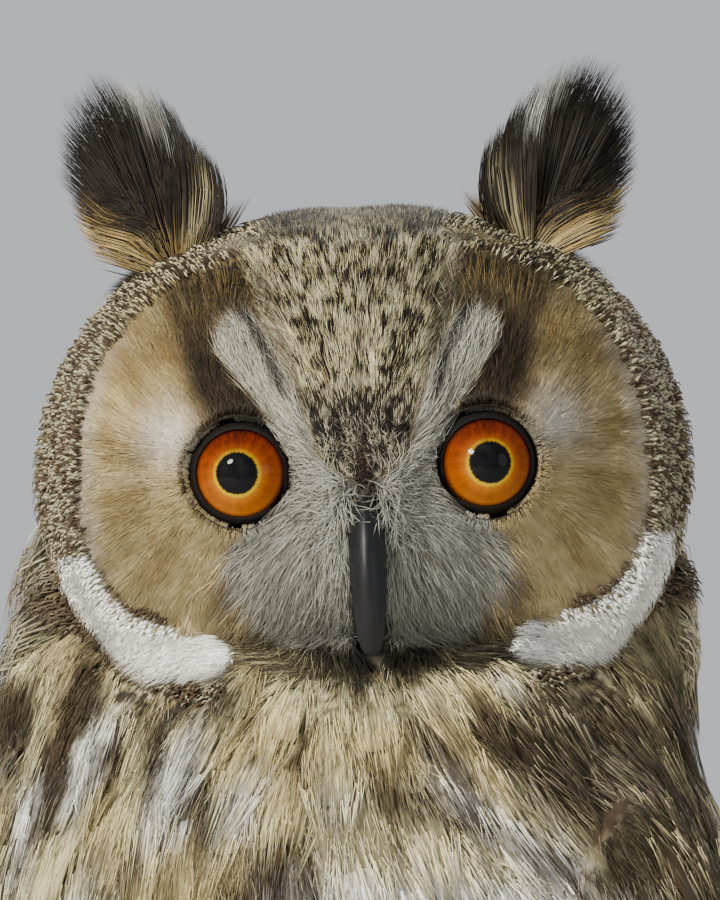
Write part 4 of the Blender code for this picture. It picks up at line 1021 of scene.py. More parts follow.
def growRim():
    s = rimCoat
    root, normal, uv = surface.roots(s["count"], rimDensity)
    h = toHead(root)
    n = len(root)
    side, luck = sideOf(h), chance.random(n)
    f = faceZones(h)
    share, fromTop = f["share"], f["fromTop"]
    outward = unit(np.stack([np.abs(h[:, 0]), 8.0 * np.ones(n), h[:, 2] - 2 - 16 * smooth(70, 110, fromTop)], axis=-1))
    flow = along(normal, headWay(h, outward, side))
    flow = spun(flow, normal, chance.normal(0, 0.3, n))
    outer = smooth(1.05, 1.09, share)
    length = s["length"] * (0.7 + 0.6 * chance.random(n)) * (1 + 1.4 * f["crescent"] + 1.5 * outer)
    rise = s["rise"] * (0.6 + 0.7 * chance.random(n)) * (1 + 1.6 * outer) * (1 - 0.6 * smooth(45, 22, fromTop))
    line, up = strandLines(root, normal, flow, length, rise, 2, sway=0.08)
    half = (s["width"] * (0.7 + 0.6 * chance.random(n)) * (1 - 0.35 * f["crescent"] - 0.3 * outer))[:, None]
    half = half * np.array([0.75, 1.0]) * (1 - 0.55 * smooth(70, 50, fromTop))[:, None]
    tone = rimTone(toHead(root + flow * (length * 0.8)[:, None]), luck) * (0.85 + 0.25 * chance.random(n))[:, None]
    # painted shade: the beads are darker at their roots, less so outside the ring and not on the crescent
    rootShade = np.minimum(0.55 + 0.45 * f["crescent"] + 0.3 * outer, 1.0)[:, None]
    edge = np.stack([tone * rootShade, tone * (rootShade + 0.2), tone], axis=1)
    middle = np.stack([tone * rootShade, tone], axis=1)
    slivers("rimFeathers", coats["body"], line, up, half, np.full((n, 2), 0.22), edge, middle, uv, slot="face_feathers")


growRim()

# Crown, sides and back of the head
crownCoat = {
    "crown": {"count": 22800, "length": (2.8, 5.5), "width": 0.19, "rise": 1.7, "rows": 1},
    "nape": {"count": 8300, "length": (5.0, 12.0), "width": 0.26, "rise": 2.2, "rows": 2},
}


def crownDensity(p, n):
    h = toHead(p)
    share, fromTop = faceShare(h)
    face = (share < 0.98) & (h[:, 1] < -2)
    ring = (share < 1.10) & (h[:, 1] < 4) & ~face
    bare = np.where(ring, 1 - rimHere(fromTop), 1.0) * (~face) * ((h[:, 2] > -18) | (h[:, 1] > -6))
    return bare * (h[:, 2] > -46) * (1 + 1.6 * smooth(10, -20, h[:, 1]) * (h[:, 2] > 15))


def growCrown(zone):
    s, rows = crownCoat[zone], crownCoat[zone]["rows"]
    here = lambda p: (toHead(p)[:, 1] < 6) & (toHead(p)[:, 2] > 10)
    density = lambda p, n: crownDensity(p, n) * (here(p) if zone == "crown" else ~here(p))
    root, normal, uv = surface.roots(s["count"], density)
    h = toHead(root)
    n = len(root)
    side, luck, second = sideOf(h), chance.random(n), chance.random(n)
    share, fromTop = faceShare(h)
    back = smooth(-12, 30, h[:, 1])
    way = np.stack([0.25 * np.abs(h[:, 0]) / 50, 0.9 * np.ones(n), -0.25 - 1.6 * back - 0.9 * smooth(20, -10, h[:, 2])], axis=-1)
    flow = along(normal, headWay(h, unit(way), side))
    clump = 0.25 * patchNoise(h[:, 0] * 0.25, h[:, 1] * 0.25 + h[:, 2] * 0.2, 51)
    flow = spun(flow, normal, clump + chance.normal(0, 0.12, n))
    low, high = s["length"]
    length = (low + (high - low) * smooth(-25, 25, h[:, 1])) * (0.75 + 0.5 * chance.random(n))
    full = smooth(-37, -45, h[:, 0]) * smooth(12, -16, h[:, 2])
    rise, length = s["rise"] * (0.45 + 0.8 * chance.random(n)) * (1 + 1.6 * full), length * (1 + 0.5 * full)
    line, up = strandLines(root, normal, flow, length, rise, rows, sway=0.08)
    half = (s["width"] * (0.7 + 0.6 * chance.random(n)))[:, None] * np.ones(rows)
    dark = smooth(30, 20, np.abs(np.abs(h[:, 0]) - 27) + np.abs(h[:, 1] + 16) * 0.6) * smooth(22, 30, h[:, 2])
    tone = mix(crownTone(h, luck), tones["dark"], 0.8 * dark * (second < 0.8))
    patch = patchNoise(h[:, 0] * 0.12, h[:, 1] * 0.12 + h[:, 2] * 0.08, 61)
    tone = mix(tone, mix(tones["streak"], tones["dark"], luck), 0.7 * back * (patch + 0.5 * second > 0.25))
    sideZone = smooth(24, 8, h[:, 2]) * (1 - back)
    sideTone = mix(mix(tones["grey"], tones["cream"], luck), tones["brown"], (second > 0.62) * 0.8)
    tone = mix(tone, sideTone, 0.85 * sideZone) * (0.85 + 0.3 * chance.random(n))[:, None]
    # painted shade: darker at the root, paler at the tip
    edge = tone[:, None] * np.linspace(0.7, 1.05, rows + 1)[:, None]
    slivers(zone + "Feathers", coats["body"], line, up, half, np.full((n, rows), 0.14), edge, edge[:, :rows] * 0.95, uv,
            slot="face_feathers")


growCrown("crown")
growCrown("nape")
print("head feathered")

def plates(name, material, top, normal, thick, tone, uv, slot):
    # top: feathers x rows x columns of points. Each becomes a closed plate as thick as thick
    count, rows, columns = top.shape[:3]
    under = top - normal * thick
    points = np.concatenate([top.reshape(count, -1, 3), under.reshape(count, -1, 3)], axis=1)
    layer = rows * columns
    at = lambda k, i, j: k * layer + i * columns + j
    quads = []
    for i in range(rows - 1):
        for j in range(columns - 1):
            quads.append((at(0, i, j), at(0, i, j + 1), at(0, i + 1, j + 1), at(0, i + 1, j)))
            quads.append((at(1, i, j), at(1, i + 1, j), at(1, i + 1, j + 1), at(1, i, j + 1)))
    edge = ([(0, j) for j in range(columns)] + [(i, columns - 1) for i in range(1, rows)]
            + [(rows - 1, j) for j in range(columns - 2, -1, -1)] + [(i, 0) for i in range(rows - 2, 0, -1)])
    for k, first in enumerate(edge):
        second = edge[(k + 1) % len(edge)]
        quads.append((at(0, *second), at(0, *first), at(1, *first), at(1, *second)))
    quads = np.array(quads)
    faces = np.concatenate([quads[:, [0, 1, 2]], quads[:, [0, 2, 3]]])
    # which way round the plates are is read from the first one
    p = points[0][faces[0]]
    if np.dot(np.cross(p[1] - p[0], p[2] - p[0]), normal[0, 0, 0]) < 0:
        faces = faces[:, ::-1]
    each = 2 * layer
    triangles = (np.arange(count)[:, None, None] * each + faces[None]).reshape(-1, 3)
    u, v = np.meshgrid(np.linspace(0, 1, columns), np.linspace(0, 1, rows))
    own = np.tile(np.stack([u.ravel(), v.ravel()], axis=1), (2, 1))
    own = np.broadcast_to(own, (count, each, 2)).reshape(-1, 2)
    # painted shade: the underside of each plate gets 0.8 of its top's tone
    tone = np.concatenate([tone.reshape(count, -1, 3), tone.reshape(count, -1, 3) * 0.8], axis=1).reshape(-1, 3)
    return coatMesh(name, material, points.reshape(-1, 3), triangles, tone, own, np.repeat(uv, each, axis=0))


# Soft feathers of the breast, belly, flanks and back: each is a fan of slivers over one broad sliver
bodyCoat = {"tries": 26000, "spacing": (4.5, 8.2), "length": (17.0, 34.0), "width": 13.5, "barbs": 130,
            "rise": 2.1, "thick": 0.2, "barbHalf": 0.105, "rows": 6, "columns": 4}


def bodyDensity(p, n):
    h, b = toHead(p), toBody(p)
    start = np.interp(np.abs(h[:, 0]), (0, 18, 26), (-30.3, -30.3, -34.0))
    under = (h[:, 2] < -24) & ((faceShare(h)[0] > 0.98) & (h[:, 1] > -24) | (h[:, 1] > -6) | (h[:, 2] < start))
    leg = (b[:, 2] < 30) & (np.hypot(np.abs(b[:, 0]) - 19, b[:, 1]) < 24)
    tailPart = (b[:, 2] < 24) & (b[:, 1] > 24)
    covered = smooth(0.15, 0.4, wingNear(b)) * smooth(132, 118, b[:, 2])
    return under * (~leg) * (~tailPart) * (1 - 0.8 * covered)


def bodyFlow(p, normal):  # away from under the chin at the front, down elsewhere
    h = toHead(p)
    front = smooth(20, -15, p[:, 1]) * smooth(150, 235, p[:, 2])
    high = smooth(-62, -32, h[:, 2])
    left = np.interp(h[:, 0], (-70, -45, -22, -5, 12, 30, 48, 65), (-0.30, -0.50, -0.38, -0.02, 0.58, 1.15, 0.9, 0.4))
    low = np.interp(h[:, 0], (-70, -45, -22, -5, 12, 30, 48, 65), (0.0, -0.05, 0.05, 0.20, 0.45, 0.75, 0.7, 0.3))
    way = np.stack([mix(low[:, None], left[:, None], high)[:, 0] * front, np.zeros(len(p)), -np.ones(len(p))], axis=-1)
    return along(normal, unit(way))


def settledFans(root, flow, side, forward, sideways, normal):
    # the skin under each fan is read at a few places across it, and the barbs lie between them
    count, barbs, rows = forward.shape
    reach, half = forward.max(axis=(1, 2)), np.abs(sideways).max(axis=(1, 2)) + 1e-6
    t, u = np.linspace(0, 1, 5), np.linspace(-1, 1, 3)
    net = (root[:, None, None] + flow[:, None, None] * (reach[:, None, None] * t[None, :, None])[..., None]
           + side[:, None, None] * (half[:, None, None] * u[None, None, :])[..., None])
    spot, up, _ = surface.settle(net)
    a = np.clip(forward / reach[:, None, None], 0, 0.9999) * 4
    b = np.clip((sideways / half[:, None, None] + 1) / 2, 0, 0.9999) * 2
    i, j = a.astype(int), b.astype(int)
    a, b = (a - i)[..., None], (b - j)[..., None]
    k = np.arange(count)[:, None, None]
    between = lambda net: ((net[k, i, j] * (1 - b) + net[k, i, j + 1] * b) * (1 - a)
                           + (net[k, i + 1, j] * (1 - b) + net[k, i + 1, j + 1] * b) * a)
    return between(spot), unit(between(up))


def growBody():  # each feather is a soft vane with fine barbs lying on it and reaching past its edges
    s = bodyCoat
    small, large = s["spacing"]
    size = lambda p: smooth(-24, -52, toHead(p)[:, 2])
    root, normal, uv = surface.spacedRoots(s["tries"], bodyDensity, lambda p: small + (large - small) * size(p))
    n = len(root)
    flow = spun(bodyFlow(root, normal), normal, chance.normal(0, 0.09, n))
    side = np.cross(flow, normal)
    low, high = s["length"]
    length = (low + (high - low) * size(root)) * (0.85 + 0.3 * chance.random(n))
    width = s["width"] * (0.6 + 0.4 * size(root)) * (0.85 + 0.3 * chance.random(n))
    b, h = toBody(root), toHead(root)
    onWing = smooth(0.0, 0.3, wingNear(b))
    length = length * (1 - 0.25 * onWing)
    rise = s["rise"] * (0.7 + 0.5 * chance.random(n)) * (0.75 + 0.25 * size(root))
    rise = rise * (1 + 0.7 * smooth(-40, -32, h[:, 2]) * smooth(34, 24, np.abs(h[:, 0])))
    rise = rise * (1 + 2.6 * smooth(-36, -48, h[:, 0]) * smooth(-66, -44, h[:, 2])) + 2.8 * onWing * smooth(108, 125, b[:, 2])
    luck, second = chance.random(n)[:, None, None], chance.random(n)[:, None, None]
    outline = through(((-0.1, 0.3), (0.0, 0.4), (0.3, 0.85), (0.6, 1.0), (0.82, 0.9), (1.0, 0.62), (1.3, 0.4)))

    def placed(t, u, lift):  # places on the feathers, t along them and u across
        forward = length[:, None, None] * t * (1 - 0.14 * u**2)
        sideways = width[:, None, None] / 2 * u * outline(t)[..., 0]
        spot, up = settledFans(root, flow, side, forward, sideways, normal)
        height = rise[:, None, None] * np.sin(np.minimum(t * 1.5, 1) * math.pi / 2) * (1 - 0.35 * u**2) + lift
        return spot + up * height[..., None], up

    toned = lambda place, t, u, own: bodyTone(place, u, t, luck + 0 * t, second + 0 * t, own)

    t = np.broadcast_to(np.linspace(0.03, 0.70, s["rows"])[None, :, None], (n, s["rows"], s["columns"]))
    u = np.broadcast_to(np.linspace(-0.55, 0.55, s["columns"])[None, None], t.shape)
    top, up = placed(t, u, -0.4 - 0.3 * rise[:, None, None])
    own = chance.random(t.shape)
    # painted shade: the vanes are darkened to 0.78, as shade under their barbs
    plates("bodyVanes", coats["down"], top, up, s["thick"], toned(top, t, u, 0 * own) * 0.78, uv, "breast_feathers")
    k = s["barbs"]
    start = 0.04 + 0.74 * chance.random((n, k, 1)) ** 0.85
    across = 1.9 * chance.random((n, k, 1)) - 0.95
    own = chance.random((n, k, 1))
    reach = 0.28 + 0.20 * chance.random((n, k, 1))
    ends = start + reach
    outward = across * (1 + 0.3 * chance.random((n, k, 1))) + chance.normal(0, 0.15, (n, k, 1))
    t, u = np.concatenate([start, ends], axis=2), np.concatenate([across, outward * 1.08], axis=2)
    lift = np.broadcast_to(np.array([0.12, 0.38]), t.shape) * (0.6 + 0.8 * own)
    line, up = placed(t, u, lift)
    tone = toned(line, np.clip(t, 0, 1.0), u, own + 0 * t) * (0.80 + 0.34 * chance.random((n, k, 1)))[..., None]
    flat = lambda a: a.reshape((n * k,) + a.shape[2:])
    half = s["barbHalf"] * (0.7 + 0.6 * chance.random((n * k, 1)))
    whole = (flat(line), flat(up), half, np.full((n * k, 1), 0.08), flat(tone), flat(tone)[:, :1] * 0.95,
             np.repeat(uv, k, axis=0))
    for part, pick in enumerate(np.array_split(np.arange(n * k), math.ceil(n * k * 4 / 190000))):
        slivers(f"bodyBarbs{part + 1}", coats["body"], *(a[pick] for a in whole), slot="breast_feathers")
    print("body feathers:", n)


growBody()

downCoat = {"count": 12500, "length": (6.0, 11.0), "width": 0.11, "rise": 1.5, "below": 240.0, "gain": 11.0, "reach": 6.0,
            "thin": ((47.0, -38.0, 274.0), (42.0, -45.5, 267.0), (-35.0, -33.5, 292.0))}  # where the barbs part


def growDown():  # loose barbs that fill the partings between the feathers of the breast
    s = downCoat

    def density(p, n):
        gap = np.min([np.linalg.norm(p - np.array(spot), axis=1) for spot in s["thin"]], axis=0)
        return bodyDensity(p, n) * (p[:, 2] > s["below"]) * (p[:, 1] < 12) * (1 + s["gain"] * smooth(s["reach"] * 1.5, s["reach"] * 0.5, gap))

    root, normal, uv = surface.roots(s["count"], density)
    n = len(root)
    flow = spun(bodyFlow(root, normal), normal, chance.normal(0, 0.2, n))
    low, high = s["length"]
    length = low + (high - low) * chance.random(n)
    line, up = strandLines(root, normal, flow, length, s["rise"] * (0.5 + chance.random(n)), 1)
    luck, second, own = chance.random((n, 1)), chance.random((n, 1)), chance.random((n, 1))
    even = np.zeros((n, 2))
    tone = bodyTone(line, even + 0.6, even + 0.5, luck + even, second + even, own + even)
    tone = tone * (0.75 + 0.3 * chance.random((n, 1)))[..., None]
    slivers("downFeathers", coats["body"], line, up, np.full((n, 1), s["width"]), np.full((n, 1), 0.08), tone,
            tone[:, :1] * 0.95, uv, slot="breast_feathers")


growDown()

# Short feathers of the legs and toes
legCoat = {"count": 4000, "length": (3.0, 8.0), "width": 0.42, "rise": 1.3}


def legDensity(p, n):
    b = toBody(p)
    near = (b[:, 2] < 32) & (np.hypot(np.abs(b[:, 0]) - 19, b[:, 1] * 0.6) < 24) & (b[:, 1] < 26)
    return near * 1.0


def growLegs():
    s = legCoat
    root, normal, uv = surface.roots(s["count"], legDensity)
    b = toBody(root)
    n = len(root)
    toe = smooth(10, 4, b[:, 2])
    outward = turned(np.stack([np.zeros(n), b[:, 1] / 14, np.zeros(n)], axis=-1), pose["bodyTurn"])
    flow = along(normal, unit(outward * toe[:, None] + np.array([0, 0, -1.0])))
    flow = spun(flow, normal, chance.normal(0, 0.15, n))
    low, high = s["length"]
    length = (low + (high - low) * smooth(4, 24, b[:, 2])) * (0.8 + 0.4 * chance.random(n))
    rise = s["rise"] * (0.5 + 0.7 * chance.random(n)) * (0.35 + 0.65 * smooth(0, 12, b[:, 2]))
    line, up = strandLines(root, normal, flow, length, rise, 2, sway=0.1)
    half = (s["width"] * (0.8 + 0.4 * chance.random(n)))[:, None] * np.array([0.8, 1.0])
    tone = mix(tones["leg"], tones["cream"], 0.7 * chance.random(n)) * (0.85 + 0.25 * chance.random(n))[:, None]
    # painted shade: darker at the root
    edge = np.stack([tone * 0.7, tone, tone * 1.05], axis=1)
    slivers("legFeathers", coats["body"], line, up, half, np.full((n, 2), 0.22), edge, edge[:, :2] * 0.95, uv,
            slot="breast_feathers")


growLegs()
print("body feathered")


# Broad vanes, each a closed curved plate with its barbs, shaft and bars in the finish


def flightMaterial(name, settings):
    made, tree, shader = newMaterial(name, settings["roughness"], **{"Specular IOR Level": 0.3})
    tint = node(tree, "ShaderNodeAttribute", attribute_name="tint").outputs["Color"]
    own = node(tree, "ShaderNodeUVMap", uv_map="vane")
    at = node(tree, "ShaderNodeTexCoord").outputs["Object"]
    parts = node(tree, "ShaderNodeSeparateXYZ", {0: own.outputs[0]})
    wander = node(tree, "ShaderNodeTexNoise", {"Vector": at, "Scale": 160.0, "Detail": 4.0})
    along = mathNode(tree, "ADD", mathNode(tree, "MULTIPLY", parts.outputs[1], settings["bars"]),
                     mathNode(tree, "MULTIPLY", wander.outputs[0], 0.9))
    wave = mathNode(tree, "SINE", mathNode(tree, "MULTIPLY", along, 6.283))
    bar = mathNode(tree, "MULTIPLY", mathNode(tree, "SUBTRACT", wave, settings["barEdge"]), 3.0, clamp=True)
    bar = mathNode(tree, "MULTIPLY", bar, settings["barDepth"])
    barred = node(tree, "ShaderNodeMix", {0: bar, 6: tint, 7: (*settings["dark"], 1.0)}, data_type="RGBA").outputs[2]
    fleck = node(tree, "ShaderNodeTexNoise", {"Vector": at, "Scale": 900.0, "Detail": 3.0, "Roughness": 0.7})
    flecks = mathNode(tree, "MULTIPLY", mathNode(tree, "SUBTRACT", fleck.outputs[0], 0.52), 6.0, clamp=True)
    flecks = mathNode(tree, "MULTIPLY", flecks, settings["flecks"])
    flecked = node(tree, "ShaderNodeMix", {0: flecks, 6: barred, 7: (*settings["pale"], 1.0)},
                   data_type="RGBA").outputs[2]
    barbs = groupNode(tree, barbGroup, {"Count": settings["barbs"], "Depth": 0.3})
    grey = node(tree, "ShaderNodeCombineColor", {0: barbs.outputs["Shade"], 1: barbs.outputs["Shade"],
                                                  2: barbs.outputs["Shade"]})
    shaded = node(tree, "ShaderNodeMix", {0: 1.0, 6: flecked, 7: grey.outputs[0]}, data_type="RGBA",
                  blend_type="MULTIPLY").outputs[2]
    bump = node(tree, "ShaderNodeBump", {"Height": barbs.outputs["Height"], "Strength": 0.5, "Distance": 0.0002})
    link(tree, shaded, shader.inputs["Base Color"])
    link(tree, bump.outputs[0], shader.inputs["Normal"])
    return made


flightFinish = flightMaterial("flightFeather", {"roughness": 0.5, "bars": 6.0, "barEdge": 0.05, "barDepth": 0.85,
                                                "dark": tones["dark"], "pale": tones["wingPale"], "flecks": 0.25,
                                                "barbs": 90.0})
tailFinish = flightMaterial("tailFeather", {"roughness": 0.55, "bars": 7.0, "barEdge": 0.45, "barDepth": 0.8,
                                            "dark": tones["wing"], "pale": tones["grey"], "flecks": 0.4, "barbs": 110.0})
covertFinish = flightMaterial("covertFeather", {"roughness": 0.6, "bars": 3.0, "barEdge": 0.2, "barDepth": 0.35,
                                                "dark": tones["dark"], "pale": tones["wingPale"], "flecks": 0.75,
                                                "barbs": 60.0})


vaneShape = through(((0.0, 0.34), (0.12, 0.62), (0.35, 0.95), (0.6, 1.0), (0.8, 0.93), (0.92, 0.68), (1.0, 0.16)))


def wingVanes(side, feathers, rows, columns, cup):
    # feathers: start across, start height, tip across, tip height, root lift, tip lift, width
    f = np.array(feathers, float)
    t = np.linspace(0, 1, rows)[None, :, None]
    u = np.linspace(-1, 1, columns)[None, None, :]
    pick = lambda k: f[:, k, None, None]
    height = pick(1) + (pick(3) - pick(1)) * t
    middle = pick(0) + (pick(2) - pick(0)) * t
    low, _ = wingPlace(side, middle, height, np.zeros_like(middle))
    high, _ = wingPlace(side, middle + 0.01, height, np.zeros_like(middle))
    reach = np.linalg.norm(high - low, axis=-1) / 0.01
    half = pick(6) / 2 * vaneShape(np.broadcast_to(t, height.shape))[..., 0]
    notch = 1 + 0.05 * np.sin(t * 40 + pick(1) + u * 3) * np.abs(u) ** 3
    across = middle + u * half * notch / reach
    height = height + np.zeros_like(u)
    lift = pick(4) + (pick(5) - pick(4)) * t + cup * (1 - u**2) - 0.45 * u * side * 0 + 0.35 * u
    top, normal = wingPlace(side, across, height, lift + np.zeros_like(across))
    return top, normal


wingSettings = {
    "primary": {"starts": 0.10, "startStep": 0.14, "tips": 0.18, "tipStep": 0.13, "width": 14.0, "rows": 26, "columns": 9,
                "tipHeights": (-66.0, -80.0, -90.0, -92.0, -86.0, -76.0)},
    "tiers": (
        {"count": 6, "start": (0.16, 50.0), "startStep": (0.145, 0.0), "tip": (0.19, -46.0), "tipStep": (0.145, 10.0),
         "lifts": (1.8, 4.2), "width": 15.5, "flight": True},
        {"count": 6, "start": (0.10, 76.0), "startStep": (0.16, 0.0), "tip": (0.12, 24.0), "tipStep": (0.16, 4.0),
         "lifts": (3.2, 5.8), "width": 16.0, "flight": False},
        {"count": 8, "start": (0.10, 100.0), "startStep": (0.115, 0.0), "tip": (0.12, 56.0), "tipStep": (0.115, 3.0),
         "lifts": (4.2, 7.0), "width": 14.0, "flight": False},
        {"count": 9, "start": (0.08, 122.0), "startStep": (0.10, 0.0), "tip": (0.09, 82.0), "tipStep": (0.10, 1.0),
         "lifts": (4.8, 7.8), "width": 12.5, "flight": False},
    ),
    "thick": 0.55,
}


def growWing(side, label):
    s, made = wingSettings, []
    p = s["primary"]
    flight = [[p["starts"] + p["startStep"] * k, 26.0, p["tips"] + p["tipStep"] * k, tip, 0.9 + 0.08 * k, 1.3 + 0.1 * k,
               p["width"]] for k, tip in enumerate(p["tipHeights"])]
    covert = []
    for tier in s["tiers"]:
        for k in range(tier["count"]):
            row = [tier["start"][0] + tier["startStep"][0] * k, tier["start"][1] + tier["startStep"][1] * k,
                   tier["tip"][0] + tier["tipStep"][0] * k, tier["tip"][1] + tier["tipStep"][1] * k,
                   tier["lifts"][0], tier["lifts"][1] + 0.15 * (k % 2), tier["width"]]
            wobble = chance.normal(0, 1, 4) * (0.006, 1.2, 0.008, 1.8)
            row[:4] = [a + b for a, b in zip(row[:4], wobble)]
            (flight if tier["flight"] else covert).append(row)
    for name, rows, group, finish in (("flight", p["rows"], flight, flightFinish), ("covert", 14, covert, covertFinish)):
        top, normal = wingVanes(side, group, rows, p["columns"], 0.7)
        n = len(group)
        u = np.linspace(-1, 1, p["columns"])[None, None, :, None]
        t = np.linspace(0, 1, rows)[None, :, None, None]
        luck = chance.random(n)[:, None, None, None]
        if name == "flight":
            tone = tones["buff"] * (0.75 + 0.3 * luck) * (1 - t * 0.25) + 0 * u
            tone = tone * (1 - 0.35 * (u > 0.1))
        else:
            tone = tones["wing"] * (1 - 0.45 * luck) + tones["buff"] * 0.45 * luck + 0 * u * t
            tone = tone * (1 - 0.6 * np.exp(-(u / 0.3) ** 2) * smooth(0.2, 0.7, t))
            tone = tone + (tones["wingPale"] - tone) * (np.abs(u) > 0.7) * (t > 0.55) * 0.5
        tone = np.broadcast_to(tone, top.shape)
        _, _, uv = surface.settle(top[:, 0, p["columns"] // 2])
        made.append(plates(f"{label}_{name}", finish, top, normal, s["thick"], tone, uv, "wing_feathers"))
    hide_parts(label)
    return made


growWing(1, "wing_left")
growWing(-1, "wing_right")
print("wings made")

tailSettings = {"tips": ((3.0, -84.0), (8.2, -84.0), (13.0, -82.5), (17.2, -80.0), (20.8, -77.0)), "width": 15.0,
                "top": 34.0, "rows": 26, "columns": 9, "thick": 0.55}


def growTail():
    s, tops, normals, order = tailSettings, [], [], []
    t = np.linspace(0, 1, s["rows"])[:, None]
    u = np.linspace(-1, 1, s["columns"])[None]
    for k, (tipX, tipZ) in enumerate(s["tips"]):
        for side in (1, -1):
            height = s["top"] + (tipZ - s["top"]) * t
            centre = side * (tipX * (0.55 + 0.45 * t))
            half = s["width"] / 2 * vaneShape(t)[..., 0] * (0.8 + 0.2 * t)
            x = centre + u * half
            behind = tailPath(np.clip(height, -84, 46))[..., 0] - 0.95 * (k * 2 + (side < 0)) + 3.2 + 0.5 * (1 - u**2)
            height = height + 0 * u
            point = np.stack([x, behind + 0 * x, height], axis=-1)
            tops.append(overPerch(point))
            out = np.broadcast_to(np.array([0.0, 1.0, 0.12]), point.shape)
            normals.append(turned(unit(out), pose["bodyTurn"]))
    top, normal = np.array(tops), np.array(normals)
    luck = chance.random(len(top))[:, None, None, None]
    tone = np.broadcast_to(tones["wingPale"] * (0.8 + 0.25 * luck), top.shape)
    _, _, uv = surface.settle(top[:, 0, s["columns"] // 2])
    tail = plates("tailFeathers", tailFinish, top, normal, s["thick"], tone, uv, "wing_feathers")
    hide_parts("tail")


growTail()
print("tail made")

# Ear tufts: dark in the middle, gold along the lower edge, grey along the upper one
tuftSettings = {
    "root": (28.5, -9.0, 32.5),
    "feathers": ((98, 23.5, -1.0), (88, 28.5, 2.0), (78, 35.5, 5.0), (69, 38.5, 7.0), (60, 37.0, 8.0),
                 (51, 31.5, 7.0), (42, 25.5, 4.0), (31, 18.5, 0.0)),
    "baseCount": 3200, "each": 3, "width": 9.5, "barbs": 100, "rows": 3, "bend": 3.0, "half": 0.095,
    "fringe": ((40.0, 70.5), (35.0, 64.5), (30.5, 58.0)), "fringeWide": 1.9,
    "gold": ((46.5, 42.0), (42.0, 38.5), (36.0, 36.5), (29.5, 34.5)), "goldWide": 3.8,
    "inner": ((24.0, 48.0), (26.5, 40.0), (28.5, 34.0)), "innerWide": 3.2,
}


def growTuft(side, label):
    s = tuftSettings
    table = through(tuple((i, *row) for i, row in enumerate(s["feathers"])))
    order = np.linspace(0, len(s["feathers"]) - 1, len(s["feathers"]) * s["each"])
    order = np.clip(order + chance.normal(0, 0.08, len(order)), 0, len(s["feathers"]) - 1)
    row = table(order)
    layer = chance.random(len(order))
    angle, length, back = np.radians(row[:, 0]), row[:, 1] * (0.9 + 0.1 * layer), row[:, 2]
    barbs, rows = s["barbs"], s["rows"]
    n = len(order)
    out = np.stack([np.cos(angle), 0 * angle, np.sin(angle)], axis=-1)
    across = np.stack([-np.sin(angle), 0 * angle, np.cos(angle)], axis=-1)
    spread = np.linspace(-1, 1, barbs)[None] + chance.normal(0, 0.05, (n, barbs))
    steps = np.linspace(0, 1, rows + 1)
    fromRoot = 0.72 * chance.random((n, barbs)) * np.abs(spread)
    t = fromRoot[..., None] * (1 - steps) + steps
    reach = length[:, None] * (1 - 0.16 * np.abs(spread) ** 1.5) * (0.94 + 0.08 * chance.random((n, barbs)))
    sideways = (spread * s["width"] / 2)[..., None] * np.sin(np.clip(t, 0, 1) ** 0.7 * math.pi * 0.60)
    bend = s["bend"] * np.sin(t * math.pi) * 0.5
    depth = back[:, None, None] * t**1.3 + 2.2 * (1 - layer)[:, None, None]
    line = (np.array(s["root"]) + out[:, None, None] * (reach[..., None] * t)[..., None]
            + across[:, None, None] * (sideways + bend)[..., None]
            + np.array([0, 1.0, 0]) * (depth - 1.6 * (spread**2)[..., None] * t)[..., None])
    line = line * (side, 1, 1)
    world = fromHead(line)
    up = np.broadcast_to(rolled(np.array([0, -1.0, 0.0]), pose["headRoll"]), world.shape)
    luck = chance.random((n, barbs))[..., None]
    x, z = np.abs(line[..., 0]), line[..., 2]
    near = lambda name, wide: smooth(1.15, 0.35, lineDistance(x, z, s[name])[0] / s[wide] + (luck - 0.5) * 1.5)
    tone = mix(np.broadcast_to(tones["dark"] * 0.3, t.shape + (3,)), tones["brown"] * 0.6, 0.25 * luck + 0 * t)
    streak = chance.random((n, barbs))[..., None]
    tone = mix(tone, mix(tones["gold"], tones["cream"], 0.6 * luck), near("gold", "goldWide") * 0.85 * (streak > 0.35))
    tone = mix(tone, mix(tones["gold"], tones["cream"], luck), near("inner", "innerWide") * 0.65 * (luck > 0.55))
    tone = mix(tone, mix(tones["grey"], tones["white"], luck), near("fringe", "fringeWide") * 0.85)
    tone = tone * (0.8 + 0.4 * chance.random((n, barbs)))[..., None, None]
    half = np.broadcast_to(np.array([0.9, 1.1, 0.8]) * s["half"], (n, barbs, rows))
    flat = lambda a: a.reshape((n * barbs,) + a.shape[2:])
    rootWorld = fromHead(np.array(s["root"]) * (side, 1, 1))[None]
    _, _, uv = surface.settle(rootWorld)
    tuft = slivers(label.replace("_", "") + "Feathers", coats["hair"], flat(world), flat(up), flat(half),
                   np.full((n * barbs, rows), 0.07), flat(tone), flat(tone) * 0.9,
                   np.repeat(uv, n * barbs, axis=0) + chance.normal(0, 0.002, (n * barbs, 2)), slot="tuft_feathers")
    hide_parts(label)


